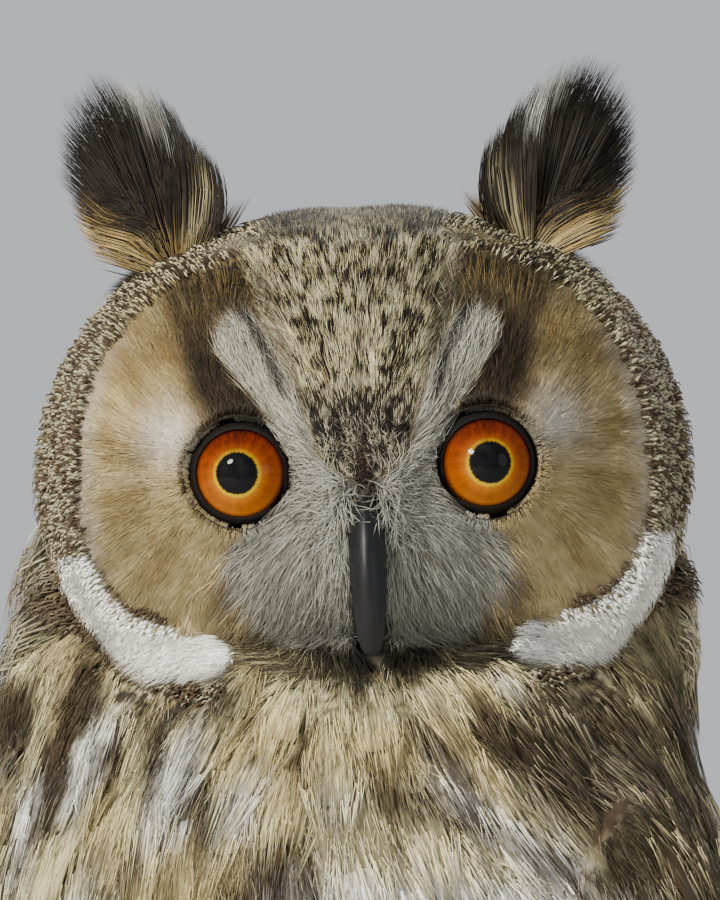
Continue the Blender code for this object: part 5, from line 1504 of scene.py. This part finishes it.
def growTuftBase():  # mottled feathers that rise from the crown round the root of each tuft
    s = tuftSettings
    place = np.array(s["root"]) + (-0.5, 0.0, -2.0)
    away = lambda p: np.linalg.norm((toHead(p) * (sideOf(toHead(p))[:, None] * (1, 0, 0) + (0, 1, 1)) - place) * (1, 0.8, 1), axis=1)
    density = lambda p, n: (away(p) < 13.5) * (toHead(p)[:, 2] > 18) * (toHead(p)[:, 1] < 10) * smooth(15, 6, away(p)) * ((faceShare(toHead(p))[0] > 1.09) | (toHead(p)[:, 1] > 3))
    root, normal, uv = surface.roots(s["baseCount"], density)
    h = toHead(root)
    n = len(root)
    side, luck = sideOf(h), chance.random(n)
    x, z = np.abs(h[:, 0]), h[:, 2]
    inner = smooth(33, 25, x)
    way = np.stack([0.75 - 0.75 * inner, 0.25 * np.ones(n), 0.45 + 0.65 * inner], axis=-1)
    way = unit(rolled(way * np.stack([side, np.ones(n), np.ones(n)], axis=-1), pose["headRoll"]))
    lean = (0.30 + 0.35 * chance.random(n) * smooth(13, 3, away(root)))[:, None]
    ahead = unit(along(normal, way) * (1 - lean) + (way + normal * 0.5) * lean)
    length = (4.0 + 4.5 * chance.random(n)) * (0.75 + 0.4 * inner)
    steps = np.linspace(0, 1, 3)[None, :, None]
    line = root[:, None] + ahead[:, None] * length[:, None, None] * steps + way[:, None] * (length * 0.2)[:, None, None] * steps**2
    line = line + normal[:, None] * 0.5 * steps
    line[:, 0] -= normal * 0.3
    up = np.repeat(normal[:, None], 3, axis=1)
    dusk = mix(tones["dark"] * 0.6, tones["brown"] * 0.8, luck)
    tone = mix(dusk, mix(tones["gold"], tones["taupe"], chance.random(n)), inner * (luck > 0.6) * 0.8)
    tone = mix(tone, crownTone(h, luck) * 0.8, smooth(28, 18, x) * 0.6) * (0.8 + 0.4 * chance.random(n))[:, None]
    # painted shade: darker at the root
    edge = tone[:, None] * np.array([0.6, 1.0, 1.1])[:, None]
    slivers("tuftBase", coats["hair"], line, up, np.full((n, 2), 0.15), np.full((n, 2), 0.1), edge, edge[:, :2], uv,
            slot="tuft_feathers")


growTuftBase()
growTuft(1, "ear_tuft_left")
growTuft(-1, "ear_tuft_right")
print("tufts made")

# Eyes: a ball with a bulging front, whose own map is centred on the pupil
eyeSettings = {"pupil": 0.455, "iris": 0.955, "bulge": 1.1, "segments": 72, "rings": 56,
               "ring": (0.88, 0.68, 0.04), "inner": (0.79, 0.41, 0.0), "middle": (0.66, 0.29, 0.0),
               "outer": (0.30, 0.09, 0.0)}


def eyeMaterial():
    s = eyeSettings
    made, tree, shader = newMaterial("owlEye", 0.35, **{"Coat Weight": 0.35, "Coat Roughness": 0.02, "Coat IOR": 1.33,
                                                         "Specular IOR Level": 0.03})
    own = node(tree, "ShaderNodeUVMap", uv_map="iris")
    parts = node(tree, "ShaderNodeSeparateXYZ", {0: own.outputs[0]})
    x = mathNode(tree, "MULTIPLY", mathNode(tree, "SUBTRACT", parts.outputs[0], 0.5), 4.0)
    y = mathNode(tree, "MULTIPLY", mathNode(tree, "SUBTRACT", parts.outputs[1], 0.5), 4.0)
    radius = mathNode(tree, "SQRT", mathNode(tree, "ADD", mathNode(tree, "MULTIPLY", x, x),
                                             mathNode(tree, "MULTIPLY", y, y)))
    angle = mathNode(tree, "ARCTAN2", y, x)
    cosine, sine = mathNode(tree, "COSINE", angle), mathNode(tree, "SINE", angle)
    around = node(tree, "ShaderNodeCombineXYZ", {0: mathNode(tree, "MULTIPLY", cosine, 7.0),
                                                  1: mathNode(tree, "MULTIPLY", sine, 7.0),
                                                  2: mathNode(tree, "MULTIPLY", radius, 1.6)})
    fibres = node(tree, "ShaderNodeTexNoise", {"Vector": around.outputs[0], "Scale": 3.2, "Detail": 5.0,
                                                "Roughness": 0.65})
    cloud = node(tree, "ShaderNodeTexNoise", {"Vector": around.outputs[0], "Scale": 0.6, "Detail": 2.0})
    wobbled = mathNode(tree, "ADD", radius, mathNode(tree, "MULTIPLY", mathNode(tree, "SUBTRACT", fibres.outputs[0], 0.5), 0.10))
    ramp = node(tree, "ShaderNodeValToRGB", {0: wobbled})
    stops = ((0.0, (0.004, 0.004, 0.006)), (s["pupil"] - 0.015, (0.004, 0.004, 0.006)),
             (s["pupil"] + 0.012, tuple(linear(*s["ring"]))), (s["pupil"] + 0.045, tuple(linear(*s["ring"]))),
             (s["pupil"] + 0.09, tuple(linear(*s["inner"]))), (s["pupil"] + 0.25, tuple(linear(*s["middle"]))),
             (s["iris"] - 0.10, tuple(linear(*s["middle"]))), (s["iris"] - 0.02, tuple(linear(*s["outer"]))),
             (s["iris"] + 0.02, (0.006, 0.004, 0.003)))
    elements = ramp.color_ramp.elements
    while len(elements) < len(stops):
        elements.new(0.5)
    for element, (position, colour) in zip(elements, stops):
        element.position, element.color = position, (*colour, 1.0)
    value = mathNode(tree, "ADD", 0.0, mathNode(tree, "ADD", mathNode(tree, "MULTIPLY", fibres.outputs[0], 0.6),
                                                 mathNode(tree, "MULTIPLY", cloud.outputs[0], 0.3)))
    value = mathNode(tree, "SUBTRACT", value, mathNode(tree, "MULTIPLY", y, 0.36))  # painted shade: deeper towards the brow
    # painted shade and light: the iris turns redder towards the brow and yellower towards its bottom
    browShadeHue = mathNode(tree, "SUBTRACT", 0.503, mathNode(tree, "MULTIPLY", y, 0.018))
    toned = node(tree, "ShaderNodeHueSaturation", {"Color": ramp.outputs[0], "Value": value, "Hue": browShadeHue})
    bump = node(tree, "ShaderNodeBump", {"Height": fibres.outputs[0], "Strength": 0.35, "Distance": 0.0004})
    link(tree, toned.outputs[0], shader.inputs["Base Color"])
    link(tree, bump.outputs[0], shader.inputs["Normal"])
    return made


eyeFinish = eyeMaterial()


def eyeFrame(side):  # centre, the way it looks, and its own right and up, in the model
    turn, opening = pose["eyeTurn"], pose["eyeOpening"]
    back = math.sqrt(pose["eyeRadius"] ** 2 - opening**2)
    centre = np.array([side * pose["eyeSpread"], pose["lidDepth"], 0.0]) + np.array(
        [-side * math.sin(turn), math.cos(turn), 0.0]) * back
    look = np.array([side * math.sin(turn), -math.cos(turn), 0.0])
    right = np.array([math.cos(turn), side * math.sin(turn), 0.0])
    return (fromHead(centre), rolled(look, pose["headRoll"]), rolled(right, pose["headRoll"]),
            rolled(np.array([0.0, 0.0, 1.0]), pose["headRoll"]))


def makeEye(side, label):
    s = eyeSettings
    centre, look, right, up = eyeFrame(side)
    clearSelection()
    turn = Vector(look).to_track_quat("Z", "Y").to_euler()
    bpy.ops.mesh.primitive_uv_sphere_add(segments=s["segments"], ring_count=s["rings"], radius=pose["eyeRadius"] / 1000,
                                         location=Vector(centre) / 1000, rotation=turn)
    eye = bpy.context.object
    eye.name = label.replace("_", "") + "Ball"
    bpy.ops.object.transform_apply(location=True, rotation=True, scale=True)
    places = placesOf(eye)
    ray = unit(places - centre)
    ahead = ray @ look
    offAxis = np.degrees(np.arccos(np.clip(ahead, -1, 1)))
    places = places + ray * (s["bulge"] * (1 - smooth(6, 40, offAxis)))[:, None]
    movePoints(eye, places)
    bpy.ops.object.shade_smooth()
    while eye.data.uv_layers:
        eye.data.uv_layers.remove(eye.data.uv_layers[0])
    layer = eye.data.uv_layers.new(name="iris")
    corner = np.empty(len(eye.data.loops), np.int32)
    eye.data.loops.foreach_get("vertex_index", corner)
    away = places - centre
    flat = np.stack([away @ right, away @ up], axis=1) / pose["eyeOpening"]
    flat = np.where((ahead > 0.15)[:, None], flat, unit(flat) * 1.3)
    layer.uv.foreach_set("vector", (0.5 + flat[corner] / 4).astype(np.float32).ravel())
    eye.data.materials.append(eyeFinish)
    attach(eye, "root")
    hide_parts(label)
    return eye


makeEye(1, "eye_left")
makeEye(-1, "eye_right")

# Bare dark rims of the lids, drawn to a point at the inner lower corner
lidSettings = {"inner": (7.3, 7.15), "outer": (8.6, 8.3), "corner": 1.3, "thick": 0.4, "segments": 96, "sides": 14}


def lidMaterial():
    made, tree, shader = newMaterial("lidSkin", 0.6, **{"Specular IOR Level": 0.05})
    at = node(tree, "ShaderNodeTexCoord").outputs["Object"]
    grain = node(tree, "ShaderNodeTexNoise", {"Vector": at, "Scale": 1500.0, "Detail": 3.0})
    tone = node(tree, "ShaderNodeMix", {0: grain.outputs[0], 6: (0.003, 0.003, 0.003, 1), 7: (0.012, 0.010, 0.009, 1)},
                data_type="RGBA")
    bump = node(tree, "ShaderNodeBump", {"Height": grain.outputs[0], "Strength": 0.5, "Distance": 0.0003})
    link(tree, tone.outputs[2], shader.inputs["Base Color"])
    link(tree, bump.outputs[0], shader.inputs["Normal"])
    return made


lidFinish = lidMaterial()


def makeLid(side, label):
    s = lidSettings
    centre, look, right, up = eyeFrame(side)
    clearSelection()
    bpy.ops.mesh.primitive_torus_add(major_segments=s["segments"], minor_segments=s["sides"], major_radius=1.0,
                                     minor_radius=0.1, location=(0, 0, 0))
    lid = bpy.context.object
    lid.name = label + "Rim"
    ring = placesOf(lid) / 1000
    around = np.arctan2(ring[:, 1], ring[:, 0])
    across = (np.hypot(ring[:, 0], ring[:, 1]) - 1.0) / 0.1
    rise = ring[:, 2] / 0.1
    inward = np.exp(-((np.degrees(around - (math.pi + 0.62 if side > 0 else -0.62)) + 180) % 360 - 180) ** 2 / 16.0**2)
    cosine, sine = np.cos(around), np.sin(around)
    oval = lambda size: size[0] * size[1] / np.hypot(size[1] * cosine, size[0] * sine)
    inner, outer = oval(s["inner"]) + 0.7 * inward, oval(s["outer"]) + s["corner"] * inward
    middle, half = (inner + outer) / 2, (outer - inner) / 2
    reach = middle + half * across
    ball = pose["eyeRadius"] + 0.15
    depth = np.sqrt(np.clip(ball**2 - np.minimum(reach, ball * 0.98) ** 2, 0.1, None))
    slope = np.clip((reach - inner) / (outer - inner), 0, 1)
    depth = depth + (rise * 0.5 + 0.42) * s["thick"] * np.sin(np.clip(slope, 0.03, 0.97) * math.pi) ** 0.6
    places = centre + np.outer(reach * cosine, right) + np.outer(reach * sine, up) + np.outer(depth, look)
    movePoints(lid, places)
    turnOut(lid)
    bpy.ops.object.shade_smooth()
    lid.data.materials.append(lidFinish)
    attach(lid, "root")
    return lid


makeLid(1, "lidLeft")
makeLid(-1, "lidRight")
print("eyes made")

# Bill: each half is drawn out ring by ring from a circle
billSettings = {
    "upper": ((-33.0, -5.0, 2.4, 4.2), (-36.0, -5.5, 2.5, 4.4), (-39.5, -5.9, 2.6, 4.5), (-42.5, -7.0, 2.7, 4.4),
              (-44.7, -8.6, 2.85, 4.3), (-46.2, -10.5, 2.95, 4.2), (-47.5, -13.0, 3.05, 3.9), (-48.4, -15.5, 3.05, 3.6),
              (-49.1, -18.3, 3.0, 3.1), (-49.4, -21.0, 2.85, 2.6), (-49.4, -23.6, 2.6, 2.1), (-49.2, -25.8, 2.4, 1.6),
              (-48.8, -27.8, 2.1, 1.2), (-48.3, -29.4, 1.6, 0.8), (-48.0, -30.3, 0.9, 0.4)),
    "lower": ((-33.0, -15.0, 4.0, 2.2), (-36.0, -16.2, 3.9, 2.2), (-38.5, -17.5, 3.7, 2.2), (-40.6, -19.0, 3.3, 2.0),
              (-42.4, -20.6, 2.8, 1.7), (-43.7, -22.2, 2.1, 1.3), (-44.6, -23.6, 1.5, 0.9)),
    "sides": 24, "nostril": (2.5, -46.6, -8.4, 1.1),
}


def drawnOut(name, rings):  # a closed form drawn from a circle through rings of points
    sides = len(rings[0])
    clearSelection()
    bpy.ops.mesh.primitive_circle_add(vertices=sides, radius=0.005, fill_type="NOTHING", location=(0, 0, 0))
    obj = bpy.context.object
    obj.name = name
    bpy.ops.object.mode_set(mode="EDIT")
    bpy.ops.mesh.select_all(action="SELECT")
    for k, ring in enumerate(rings):
        if k:
            bpy.ops.mesh.extrude_edges_move()
        mesh = bmesh.from_edit_mesh(obj.data)
        chosen = [v for v in mesh.verts if v.select]
        chosen.sort(key=lambda v: v.index)
        if k == 0:
            order = {v.index: i for i, v in enumerate(chosen)}
            placed = list(zip(chosen, range(sides)))
        else:  # each new point follows the old point that it was drawn from
            placed = []
            for v in chosen:
                old = next(e.other_vert(v) for e in v.link_edges if not e.other_vert(v).select)
                placed.append((v, lastOrder[old.index]))
        for v, i in placed:
            v.co = Vector(ring[i]) / 1000
        mesh.verts.index_update()
        lastOrder = {v.index: i for v, i in placed}
        bmesh.update_edit_mesh(obj.data)
    bpy.ops.mesh.edge_face_add()
    bpy.ops.mesh.poke()
    bpy.ops.mesh.select_all(action="DESELECT")
    mesh = bmesh.from_edit_mesh(obj.data)
    for e in mesh.edges:
        e.select = e.is_boundary
    for v in mesh.verts:
        v.select = any(e.is_boundary for e in v.link_edges)
    mesh.select_flush_mode()
    bmesh.update_edit_mesh(obj.data)
    bpy.ops.mesh.edge_face_add()
    bpy.ops.mesh.select_all(action="SELECT")
    bpy.ops.mesh.normals_make_consistent(inside=False)
    bpy.ops.object.mode_set(mode="OBJECT")
    return obj


def ringsAlong(rows, sides, ridge):  # ovals square to a path in the head's upright plane
    rows = np.array(rows, float)
    path = rows[:, :2]
    ahead = unit(np.gradient(path, axis=0))
    rings = []
    for (y, z, wide, high), (ay, az) in zip(rows, ahead):
        ring = []
        for k in range(sides):
            a = 2 * math.pi * k / sides
            across, over = math.sin(a), math.cos(a)
            keel = 1 + ridge * max(0.0, over) ** 6
            across *= 1 - 0.10 * max(0.0, over)
            ring.append((wide * across, y + az * high * over * keel, z - ay * high * over * keel))
        rings.append(fromHead(np.array(ring)))
    return rings


def billMaterial():
    made, tree, shader = newMaterial("hornBill", 0.5, **{"Specular IOR Level": 0.22, "Coat Weight": 0.04, "Coat Roughness": 0.35})
    at = node(tree, "ShaderNodeTexCoord").outputs["Object"]
    place = node(tree, "ShaderNodeSeparateXYZ", {0: at})
    stretch = node(tree, "ShaderNodeMapping", {"Vector": at, "Scale": (900.0, 900.0, 160.0)})
    streaks = node(tree, "ShaderNodeTexNoise", {"Vector": stretch.outputs[0], "Scale": 1.0, "Detail": 5.0})
    cloud = node(tree, "ShaderNodeTexNoise", {"Vector": at, "Scale": 260.0, "Detail": 3.0})
    tone = node(tree, "ShaderNodeMix", {0: streaks.outputs[0], 6: (*linear(0.015, 0.016, 0.019), 1),
                                        7: (*linear(0.06, 0.066, 0.075), 1)}, data_type="RGBA")
    pale = node(tree, "ShaderNodeMix", {0: mathNode(tree, "MULTIPLY", cloud.outputs[0], 0.3), 6: tone.outputs[2],
                                        7: (*linear(0.11, 0.125, 0.14), 1)}, data_type="RGBA")
    roughness = mathNode(tree, "ADD", 0.32, mathNode(tree, "MULTIPLY", streaks.outputs[0], 0.25))
    bump = node(tree, "ShaderNodeBump", {"Height": streaks.outputs[0], "Strength": 0.4, "Distance": 0.0003})
    link(tree, pale.outputs[2], shader.inputs["Base Color"])
    link(tree, roughness, shader.inputs["Roughness"])
    link(tree, bump.outputs[0], shader.inputs["Normal"])
    return made


billFinish = billMaterial()


def makeBill(label, rows, ridge):
    obj = drawnOut(label.replace("_", "") + "Horn", ringsAlong(rows, billSettings["sides"], ridge))
    finer = obj.modifiers.new("finer", "SUBSURF")
    finer.levels = finer.render_levels = 1
    applyAll(obj)
    places, normals = placesOf(obj), normalsOf(obj)
    if label == "bill_upper":
        x, y, z, size = billSettings["nostril"]
        h = toHead(places)
        for side in (1, -1):
            away = np.linalg.norm((h - (side * x, y, z)) * (1, 1, 0.8), axis=1)
            places = places - normals * (0.9 * np.exp(-(away / size) ** 2))[:, None]
            places = places + normals * (0.25 * np.exp(-((away - size * 1.6) / 0.6) ** 2))[:, None]
        movePoints(obj, places)
    activate(obj)
    bpy.ops.object.shade_smooth()
    obj.data.materials.append(billFinish)
    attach(obj, "root")
    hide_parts(label)
    return obj


makeBill("bill_upper", billSettings["upper"], 0.06)
makeBill("bill_lower", billSettings["lower"], 0.0)
print("bill made")


# Claws: the solids' own sweep, made finer
clawSettings = {"levels": 2, "relax": 2}


def clawMaterial():
    made, tree, shader = newMaterial("clawHorn", 0.25, **{"Coat Weight": 0.5, "Coat Roughness": 0.12})
    at = node(tree, "ShaderNodeTexCoord").outputs["Object"]
    streaks = node(tree, "ShaderNodeTexNoise", {"Vector": at, "Scale": 700.0, "Detail": 4.0})
    tone = node(tree, "ShaderNodeMix", {0: streaks.outputs[0], 6: (*linear(0.04, 0.035, 0.035), 1),
                                        7: (*linear(0.20, 0.17, 0.15), 1)}, data_type="RGBA")
    bump = node(tree, "ShaderNodeBump", {"Height": streaks.outputs[0], "Strength": 0.2, "Distance": 0.0003})
    link(tree, tone.outputs[2], shader.inputs["Base Color"])
    link(tree, bump.outputs[0], shader.inputs["Normal"])
    return made


clawFinish = clawMaterial()
for label in sorted(frame["nodes"]):
    if not label.startswith("claw_"):
        continue
    claw = nodeCopy(label)
    claw.name = label.replace("_", "") + "Horn"
    finer = claw.modifiers.new("finer", "SUBSURF")
    finer.levels = finer.render_levels = clawSettings["levels"]
    applyAll(claw)
    activate(claw)
    bpy.ops.object.shade_smooth()
    claw.data.materials.append(clawFinish)
    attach(claw, "root")
    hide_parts(label)
print("claws made")

# Perch: a branch with ridged bark and a broken side twig
perchSettings = {"voxel": 0.0013, "ridges": 0.55, "knots": ((-42.0, 120.0, 6.5, 1.2), (30.0, -60.0, 5.0, 1.0))}


def barkMaterial():
    made, tree, shader = newMaterial("barkSkin", 0.85)
    at = node(tree, "ShaderNodeTexCoord").outputs["Object"]
    lengthwise = node(tree, "ShaderNodeMapping", {"Vector": at, "Rotation": (0, 0, math.radians(30)),
                                                   "Scale": (90.0, 420.0, 420.0)})
    ridges = node(tree, "ShaderNodeTexNoise", {"Vector": lengthwise.outputs[0], "Scale": 1.0, "Detail": 8.0,
                                                "Roughness": 0.7, "Distortion": 0.6})
    plates = node(tree, "ShaderNodeTexVoronoi", {"Vector": lengthwise.outputs[0], "Scale": 0.55},
                  feature="DISTANCE_TO_EDGE")
    lichen = node(tree, "ShaderNodeTexNoise", {"Vector": at, "Scale": 55.0, "Detail": 6.0, "Roughness": 0.7})
    ramp = node(tree, "ShaderNodeValToRGB", {0: ridges.outputs[0]})
    ramp.color_ramp.elements[0].position, ramp.color_ramp.elements[1].position = 0.32, 0.72
    ramp.color_ramp.elements[0].color = (*linear(0.20, 0.15, 0.11), 1)
    ramp.color_ramp.elements[1].color = (*linear(0.56, 0.50, 0.43), 1)
    patch = mathNode(tree, "MULTIPLY", mathNode(tree, "SUBTRACT", lichen.outputs[0], 0.56), 9.0, clamp=True)
    tone = node(tree, "ShaderNodeMix", {0: mathNode(tree, "MULTIPLY", patch, 0.6), 6: ramp.outputs[0],
                                        7: (*linear(0.60, 0.62, 0.52), 1)}, data_type="RGBA")
    crack = mathNode(tree, "MULTIPLY", plates.outputs[0], 6.0, clamp=True)
    grey = node(tree, "ShaderNodeCombineColor", {0: crack, 1: crack, 2: crack})
    dark = node(tree, "ShaderNodeMix", {0: 0.55, 6: tone.outputs[2], 7: grey.outputs[0]}, data_type="RGBA",
                blend_type="MULTIPLY")
    height = mathNode(tree, "ADD", ridges.outputs[0], mathNode(tree, "MULTIPLY", crack, 0.6))
    bump = node(tree, "ShaderNodeBump", {"Height": height, "Strength": 0.9, "Distance": 0.0012})
    link(tree, dark.outputs[2], shader.inputs["Base Color"])
    link(tree, bump.outputs[0], shader.inputs["Normal"])
    return made


def makePerch():
    s = perchSettings
    perch = nodeCopy("perch")
    perch.name = "perchBranch"
    remesh = perch.modifiers.new("even", "REMESH")
    remesh.mode, remesh.voxel_size = "VOXEL", s["voxel"]
    relax = perch.modifiers.new("relax", "SMOOTH")
    relax.factor, relax.iterations = 0.5, 4
    applyAll(perch)
    places, normals = placesOf(perch), normalsOf(perch)
    b = toBody(places)
    around = np.degrees(np.arctan2(b[:, 2] + pose["perchRadius"], b[:, 1]))
    bark = np.zeros(len(b))
    for k, (count, pitch, size) in enumerate(((9, 0.09, 0.30), (17, 0.17, 0.22), (31, 0.35, 0.14))):
        bark += size * np.sin(np.radians(around) * count + np.sin(b[:, 0] * pitch + k) * 1.7 + b[:, 0] * 0.02 * k)
    for x, angle, size, depth in s["knots"]:
        away = np.hypot(b[:, 0] - x, ((around - angle + 180) % 360 - 180) * 0.227)
        bark += depth * (np.exp(-((away - size) / 1.6) ** 2) - 0.8 * np.exp(-(away / (size * 0.6)) ** 2))
    clear = smooth(8.0, 20.0, np.minimum(np.abs(b[:, 0] - 19), np.abs(b[:, 0] + 19)) + 2)
    movePoints(perch, places + normals * (s["ridges"] * (bark * (0.35 + 0.65 * clear) - 0.35))[:, None])
    activate(perch)
    bpy.ops.object.shade_smooth()
    perch.data.materials.append(barkMaterial())
    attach(perch, "root")
    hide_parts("perch")


makePerch()
print("perch made")

# Stand: a turned wooden base and two steel rods
standSettings = {"radius": 78.0, "thickness": 16.0, "edge": 3.0, "rodRadius": 3.2, "rodSpread": 58.0}


def woodMaterial():
    made, tree, shader = newMaterial("darkWood", 0.38, **{"Coat Weight": 0.25, "Coat Roughness": 0.2})
    at = node(tree, "ShaderNodeTexCoord").outputs["Object"]
    stretch = node(tree, "ShaderNodeMapping", {"Vector": at, "Scale": (14.0, 130.0, 130.0)})
    warp = node(tree, "ShaderNodeTexNoise", {"Vector": stretch.outputs[0], "Scale": 1.0, "Detail": 3.0})
    grain = node(tree, "ShaderNodeTexNoise", {"Vector": stretch.outputs[0], "Scale": 4.0, "Detail": 8.0,
                                               "Roughness": 0.7, "Distortion": 1.2})
    both = mathNode(tree, "ADD", mathNode(tree, "MULTIPLY", warp.outputs[0], 0.6),
                    mathNode(tree, "MULTIPLY", grain.outputs[0], 0.5))
    ramp = node(tree, "ShaderNodeValToRGB", {0: both})
    ramp.color_ramp.elements[0].position, ramp.color_ramp.elements[1].position = 0.38, 0.72
    ramp.color_ramp.elements[0].color = (*linear(0.16, 0.09, 0.055), 1)
    ramp.color_ramp.elements[1].color = (*linear(0.42, 0.26, 0.16), 1)
    roughness = mathNode(tree, "ADD", 0.28, mathNode(tree, "MULTIPLY", grain.outputs[0], 0.25))
    bump = node(tree, "ShaderNodeBump", {"Height": grain.outputs[0], "Strength": 0.15, "Distance": 0.0005})
    link(tree, ramp.outputs[0], shader.inputs["Base Color"])
    link(tree, roughness, shader.inputs["Roughness"])
    link(tree, bump.outputs[0], shader.inputs["Normal"])
    return made


def steelMaterial():
    made, tree, shader = newMaterial("brushedSteel", 0.3, 1.0)
    at = node(tree, "ShaderNodeTexCoord").outputs["Object"]
    stretch = node(tree, "ShaderNodeMapping", {"Vector": at, "Scale": (500.0, 500.0, 9000.0)})
    brush = node(tree, "ShaderNodeTexNoise", {"Vector": stretch.outputs[0], "Scale": 1.0, "Detail": 4.0})
    tone = node(tree, "ShaderNodeMix", {0: brush.outputs[0], 6: (0.42, 0.42, 0.43, 1), 7: (0.62, 0.62, 0.63, 1)},
                data_type="RGBA")
    roughness = mathNode(tree, "ADD", 0.2, mathNode(tree, "MULTIPLY", brush.outputs[0], 0.2))
    bump = node(tree, "ShaderNodeBump", {"Height": brush.outputs[0], "Strength": 0.1, "Distance": 0.0002})
    link(tree, tone.outputs[2], shader.inputs["Base Color"])
    link(tree, roughness, shader.inputs["Roughness"])
    link(tree, bump.outputs[0], shader.inputs["Normal"])
    return made


def makeStand():
    s = standSettings
    radius, thick = s["radius"] / 1000, s["thickness"] / 1000
    clearSelection()
    bpy.ops.mesh.primitive_cylinder_add(vertices=128, radius=radius, depth=thick, location=(0, 0, thick / 2))
    base = bpy.context.object
    base.name = "standBase"
    bpy.ops.object.transform_apply(location=True, rotation=True, scale=True)
    bpy.ops.object.mode_set(mode="EDIT")
    bpy.ops.mesh.select_all(action="DESELECT")
    mesh = bmesh.from_edit_mesh(base.data)
    for face in mesh.faces:
        face.select = face.normal.z > 0.9
    mesh.select_flush_mode()
    bmesh.update_edit_mesh(base.data)
    bpy.ops.mesh.inset(thickness=s["edge"] * 1.2 / 1000)  # a step, then the raised top
    bpy.ops.mesh.inset(thickness=0.0012, depth=-0.0010)
    bpy.ops.mesh.inset(thickness=0.0016, depth=0.0010)
    bpy.ops.mesh.inset(thickness=0.012)
    bpy.ops.object.mode_set(mode="OBJECT")
    soften = base.modifiers.new("soften", "BEVEL")
    soften.width, soften.segments, soften.limit_method = 0.0011, 4, "ANGLE"
    soften.angle_limit = math.radians(40)
    applyAll(base)
    activate(base)
    bpy.ops.object.shade_smooth_by_angle(angle=math.radians(35))
    base.data.materials.clear()
    base.data.materials.append(woodMaterial())
    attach(base, "root")
    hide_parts("stand_base")
    steel = steelMaterial()
    for label in ("stand_rod_left", "stand_rod_right"):
        low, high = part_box(label)
        middle = (low + high) / 2
        clearSelection()
        bpy.ops.mesh.primitive_cylinder_add(vertices=48, radius=s["rodRadius"] / 1000, depth=high.z - low.z, location=middle)
        rod = bpy.context.object
        rod.name = label.replace("_", "") + "Steel"
        bpy.ops.object.transform_apply(location=True, rotation=True, scale=True)
        bpy.ops.object.mode_set(mode="EDIT")
        bpy.ops.mesh.select_all(action="SELECT")
        bpy.ops.mesh.bisect(plane_co=(0, 0, low.z + 0.004), plane_no=(0, 0, 1))
        bpy.ops.mesh.select_all(action="DESELECT")
        mesh = bmesh.from_edit_mesh(rod.data)
        for face in mesh.faces:  # a low collar where the rod leaves the base
            face.select = abs(face.normal.z) < 0.1 and face.calc_center_median().z < low.z + 0.004
        mesh.select_flush_mode()
        bmesh.update_edit_mesh(rod.data)
        bpy.ops.mesh.extrude_region_shrink_fatten(TRANSFORM_OT_shrink_fatten={"value": 0.0015})
        bpy.ops.object.mode_set(mode="OBJECT")
        soften = rod.modifiers.new("soften", "BEVEL")
        soften.width, soften.segments, soften.limit_method = 0.0003, 2, "ANGLE"
        applyAll(rod)
        turnOut(rod)
        bpy.ops.object.shade_smooth_by_angle(angle=math.radians(35))
        rod.data.materials.append(steel)
        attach(rod, "root")
        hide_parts(label)


makeStand()
print("stand made")

# Floor, light and camera
studio = {
    "floor": (0.86, 0.85, 0.83), "sky": (0.86, 0.87, 0.89), "skyStrength": 0.82,
    "lights": (("key", (-1.0, -1.3, 1.2), 0.45, 76.0, (1.0, 0.94, 0.84)),
               ("fill", (1.3, -1.1, 0.5), 0.9, 4.0, (0.90, 0.94, 1.0)),
               ("rim", (0.5, 1.2, 1.1), 0.6, 14.0, (1.0, 0.98, 0.95))),
    "camera": (0.00343, -1.648, 0.3319), "lens": 395.0,
}


def makeStudio():
    clearSelection()
    bpy.ops.mesh.primitive_plane_add(size=8.0, location=(0, 0, 0))
    floor = bpy.context.object
    floor.name = "floor"
    made, tree, shader = newMaterial("paleFloor", 0.75)
    at = node(tree, "ShaderNodeTexCoord").outputs["Object"]
    grain = node(tree, "ShaderNodeTexNoise", {"Vector": at, "Scale": 30.0, "Detail": 4.0})
    low, high = linear(*(0.97 * c for c in studio["floor"])), linear(*studio["floor"])
    tone = node(tree, "ShaderNodeMix", {0: grain.outputs[0], 6: (*low, 1), 7: (*high, 1)}, data_type="RGBA")
    link(tree, tone.outputs[2], shader.inputs["Base Color"])
    floor.data.materials.append(made)
    world = bpy.data.worlds.new("studioWorld")
    bpy.context.scene.world = world
    world.use_nodes = True
    backdrop = world.node_tree.nodes["Background"]
    backdrop.inputs["Color"].default_value = (*linear(*studio["sky"]), 1)
    backdrop.inputs["Strength"].default_value = studio["skyStrength"]
    target = Vector((0.0, 0.0, 0.28))
    for name, place, size, power, colour in studio["lights"]:
        data = bpy.data.lights.new(name, "AREA")
        data.shape, data.size, data.energy, data.color = "DISK", size, power, colour
        lamp = bpy.data.objects.new(name, data)
        bpy.context.collection.objects.link(lamp)
        lamp.location = place
        lamp.rotation_euler = (target - Vector(place)).to_track_quat("-Z", "Y").to_euler()
    data = bpy.data.cameras.new("camera")
    data.lens, data.sensor_width, data.sensor_fit = studio["lens"], 36.0, "AUTO"
    data.clip_start, data.clip_end = 0.05, 50.0
    camera = bpy.data.objects.new("camera", data)
    bpy.context.collection.objects.link(camera)
    camera.location = studio["camera"]
    camera.rotation_euler = (math.radians(90), 0, 0)
    bpy.context.scene.camera = camera


makeStudio()
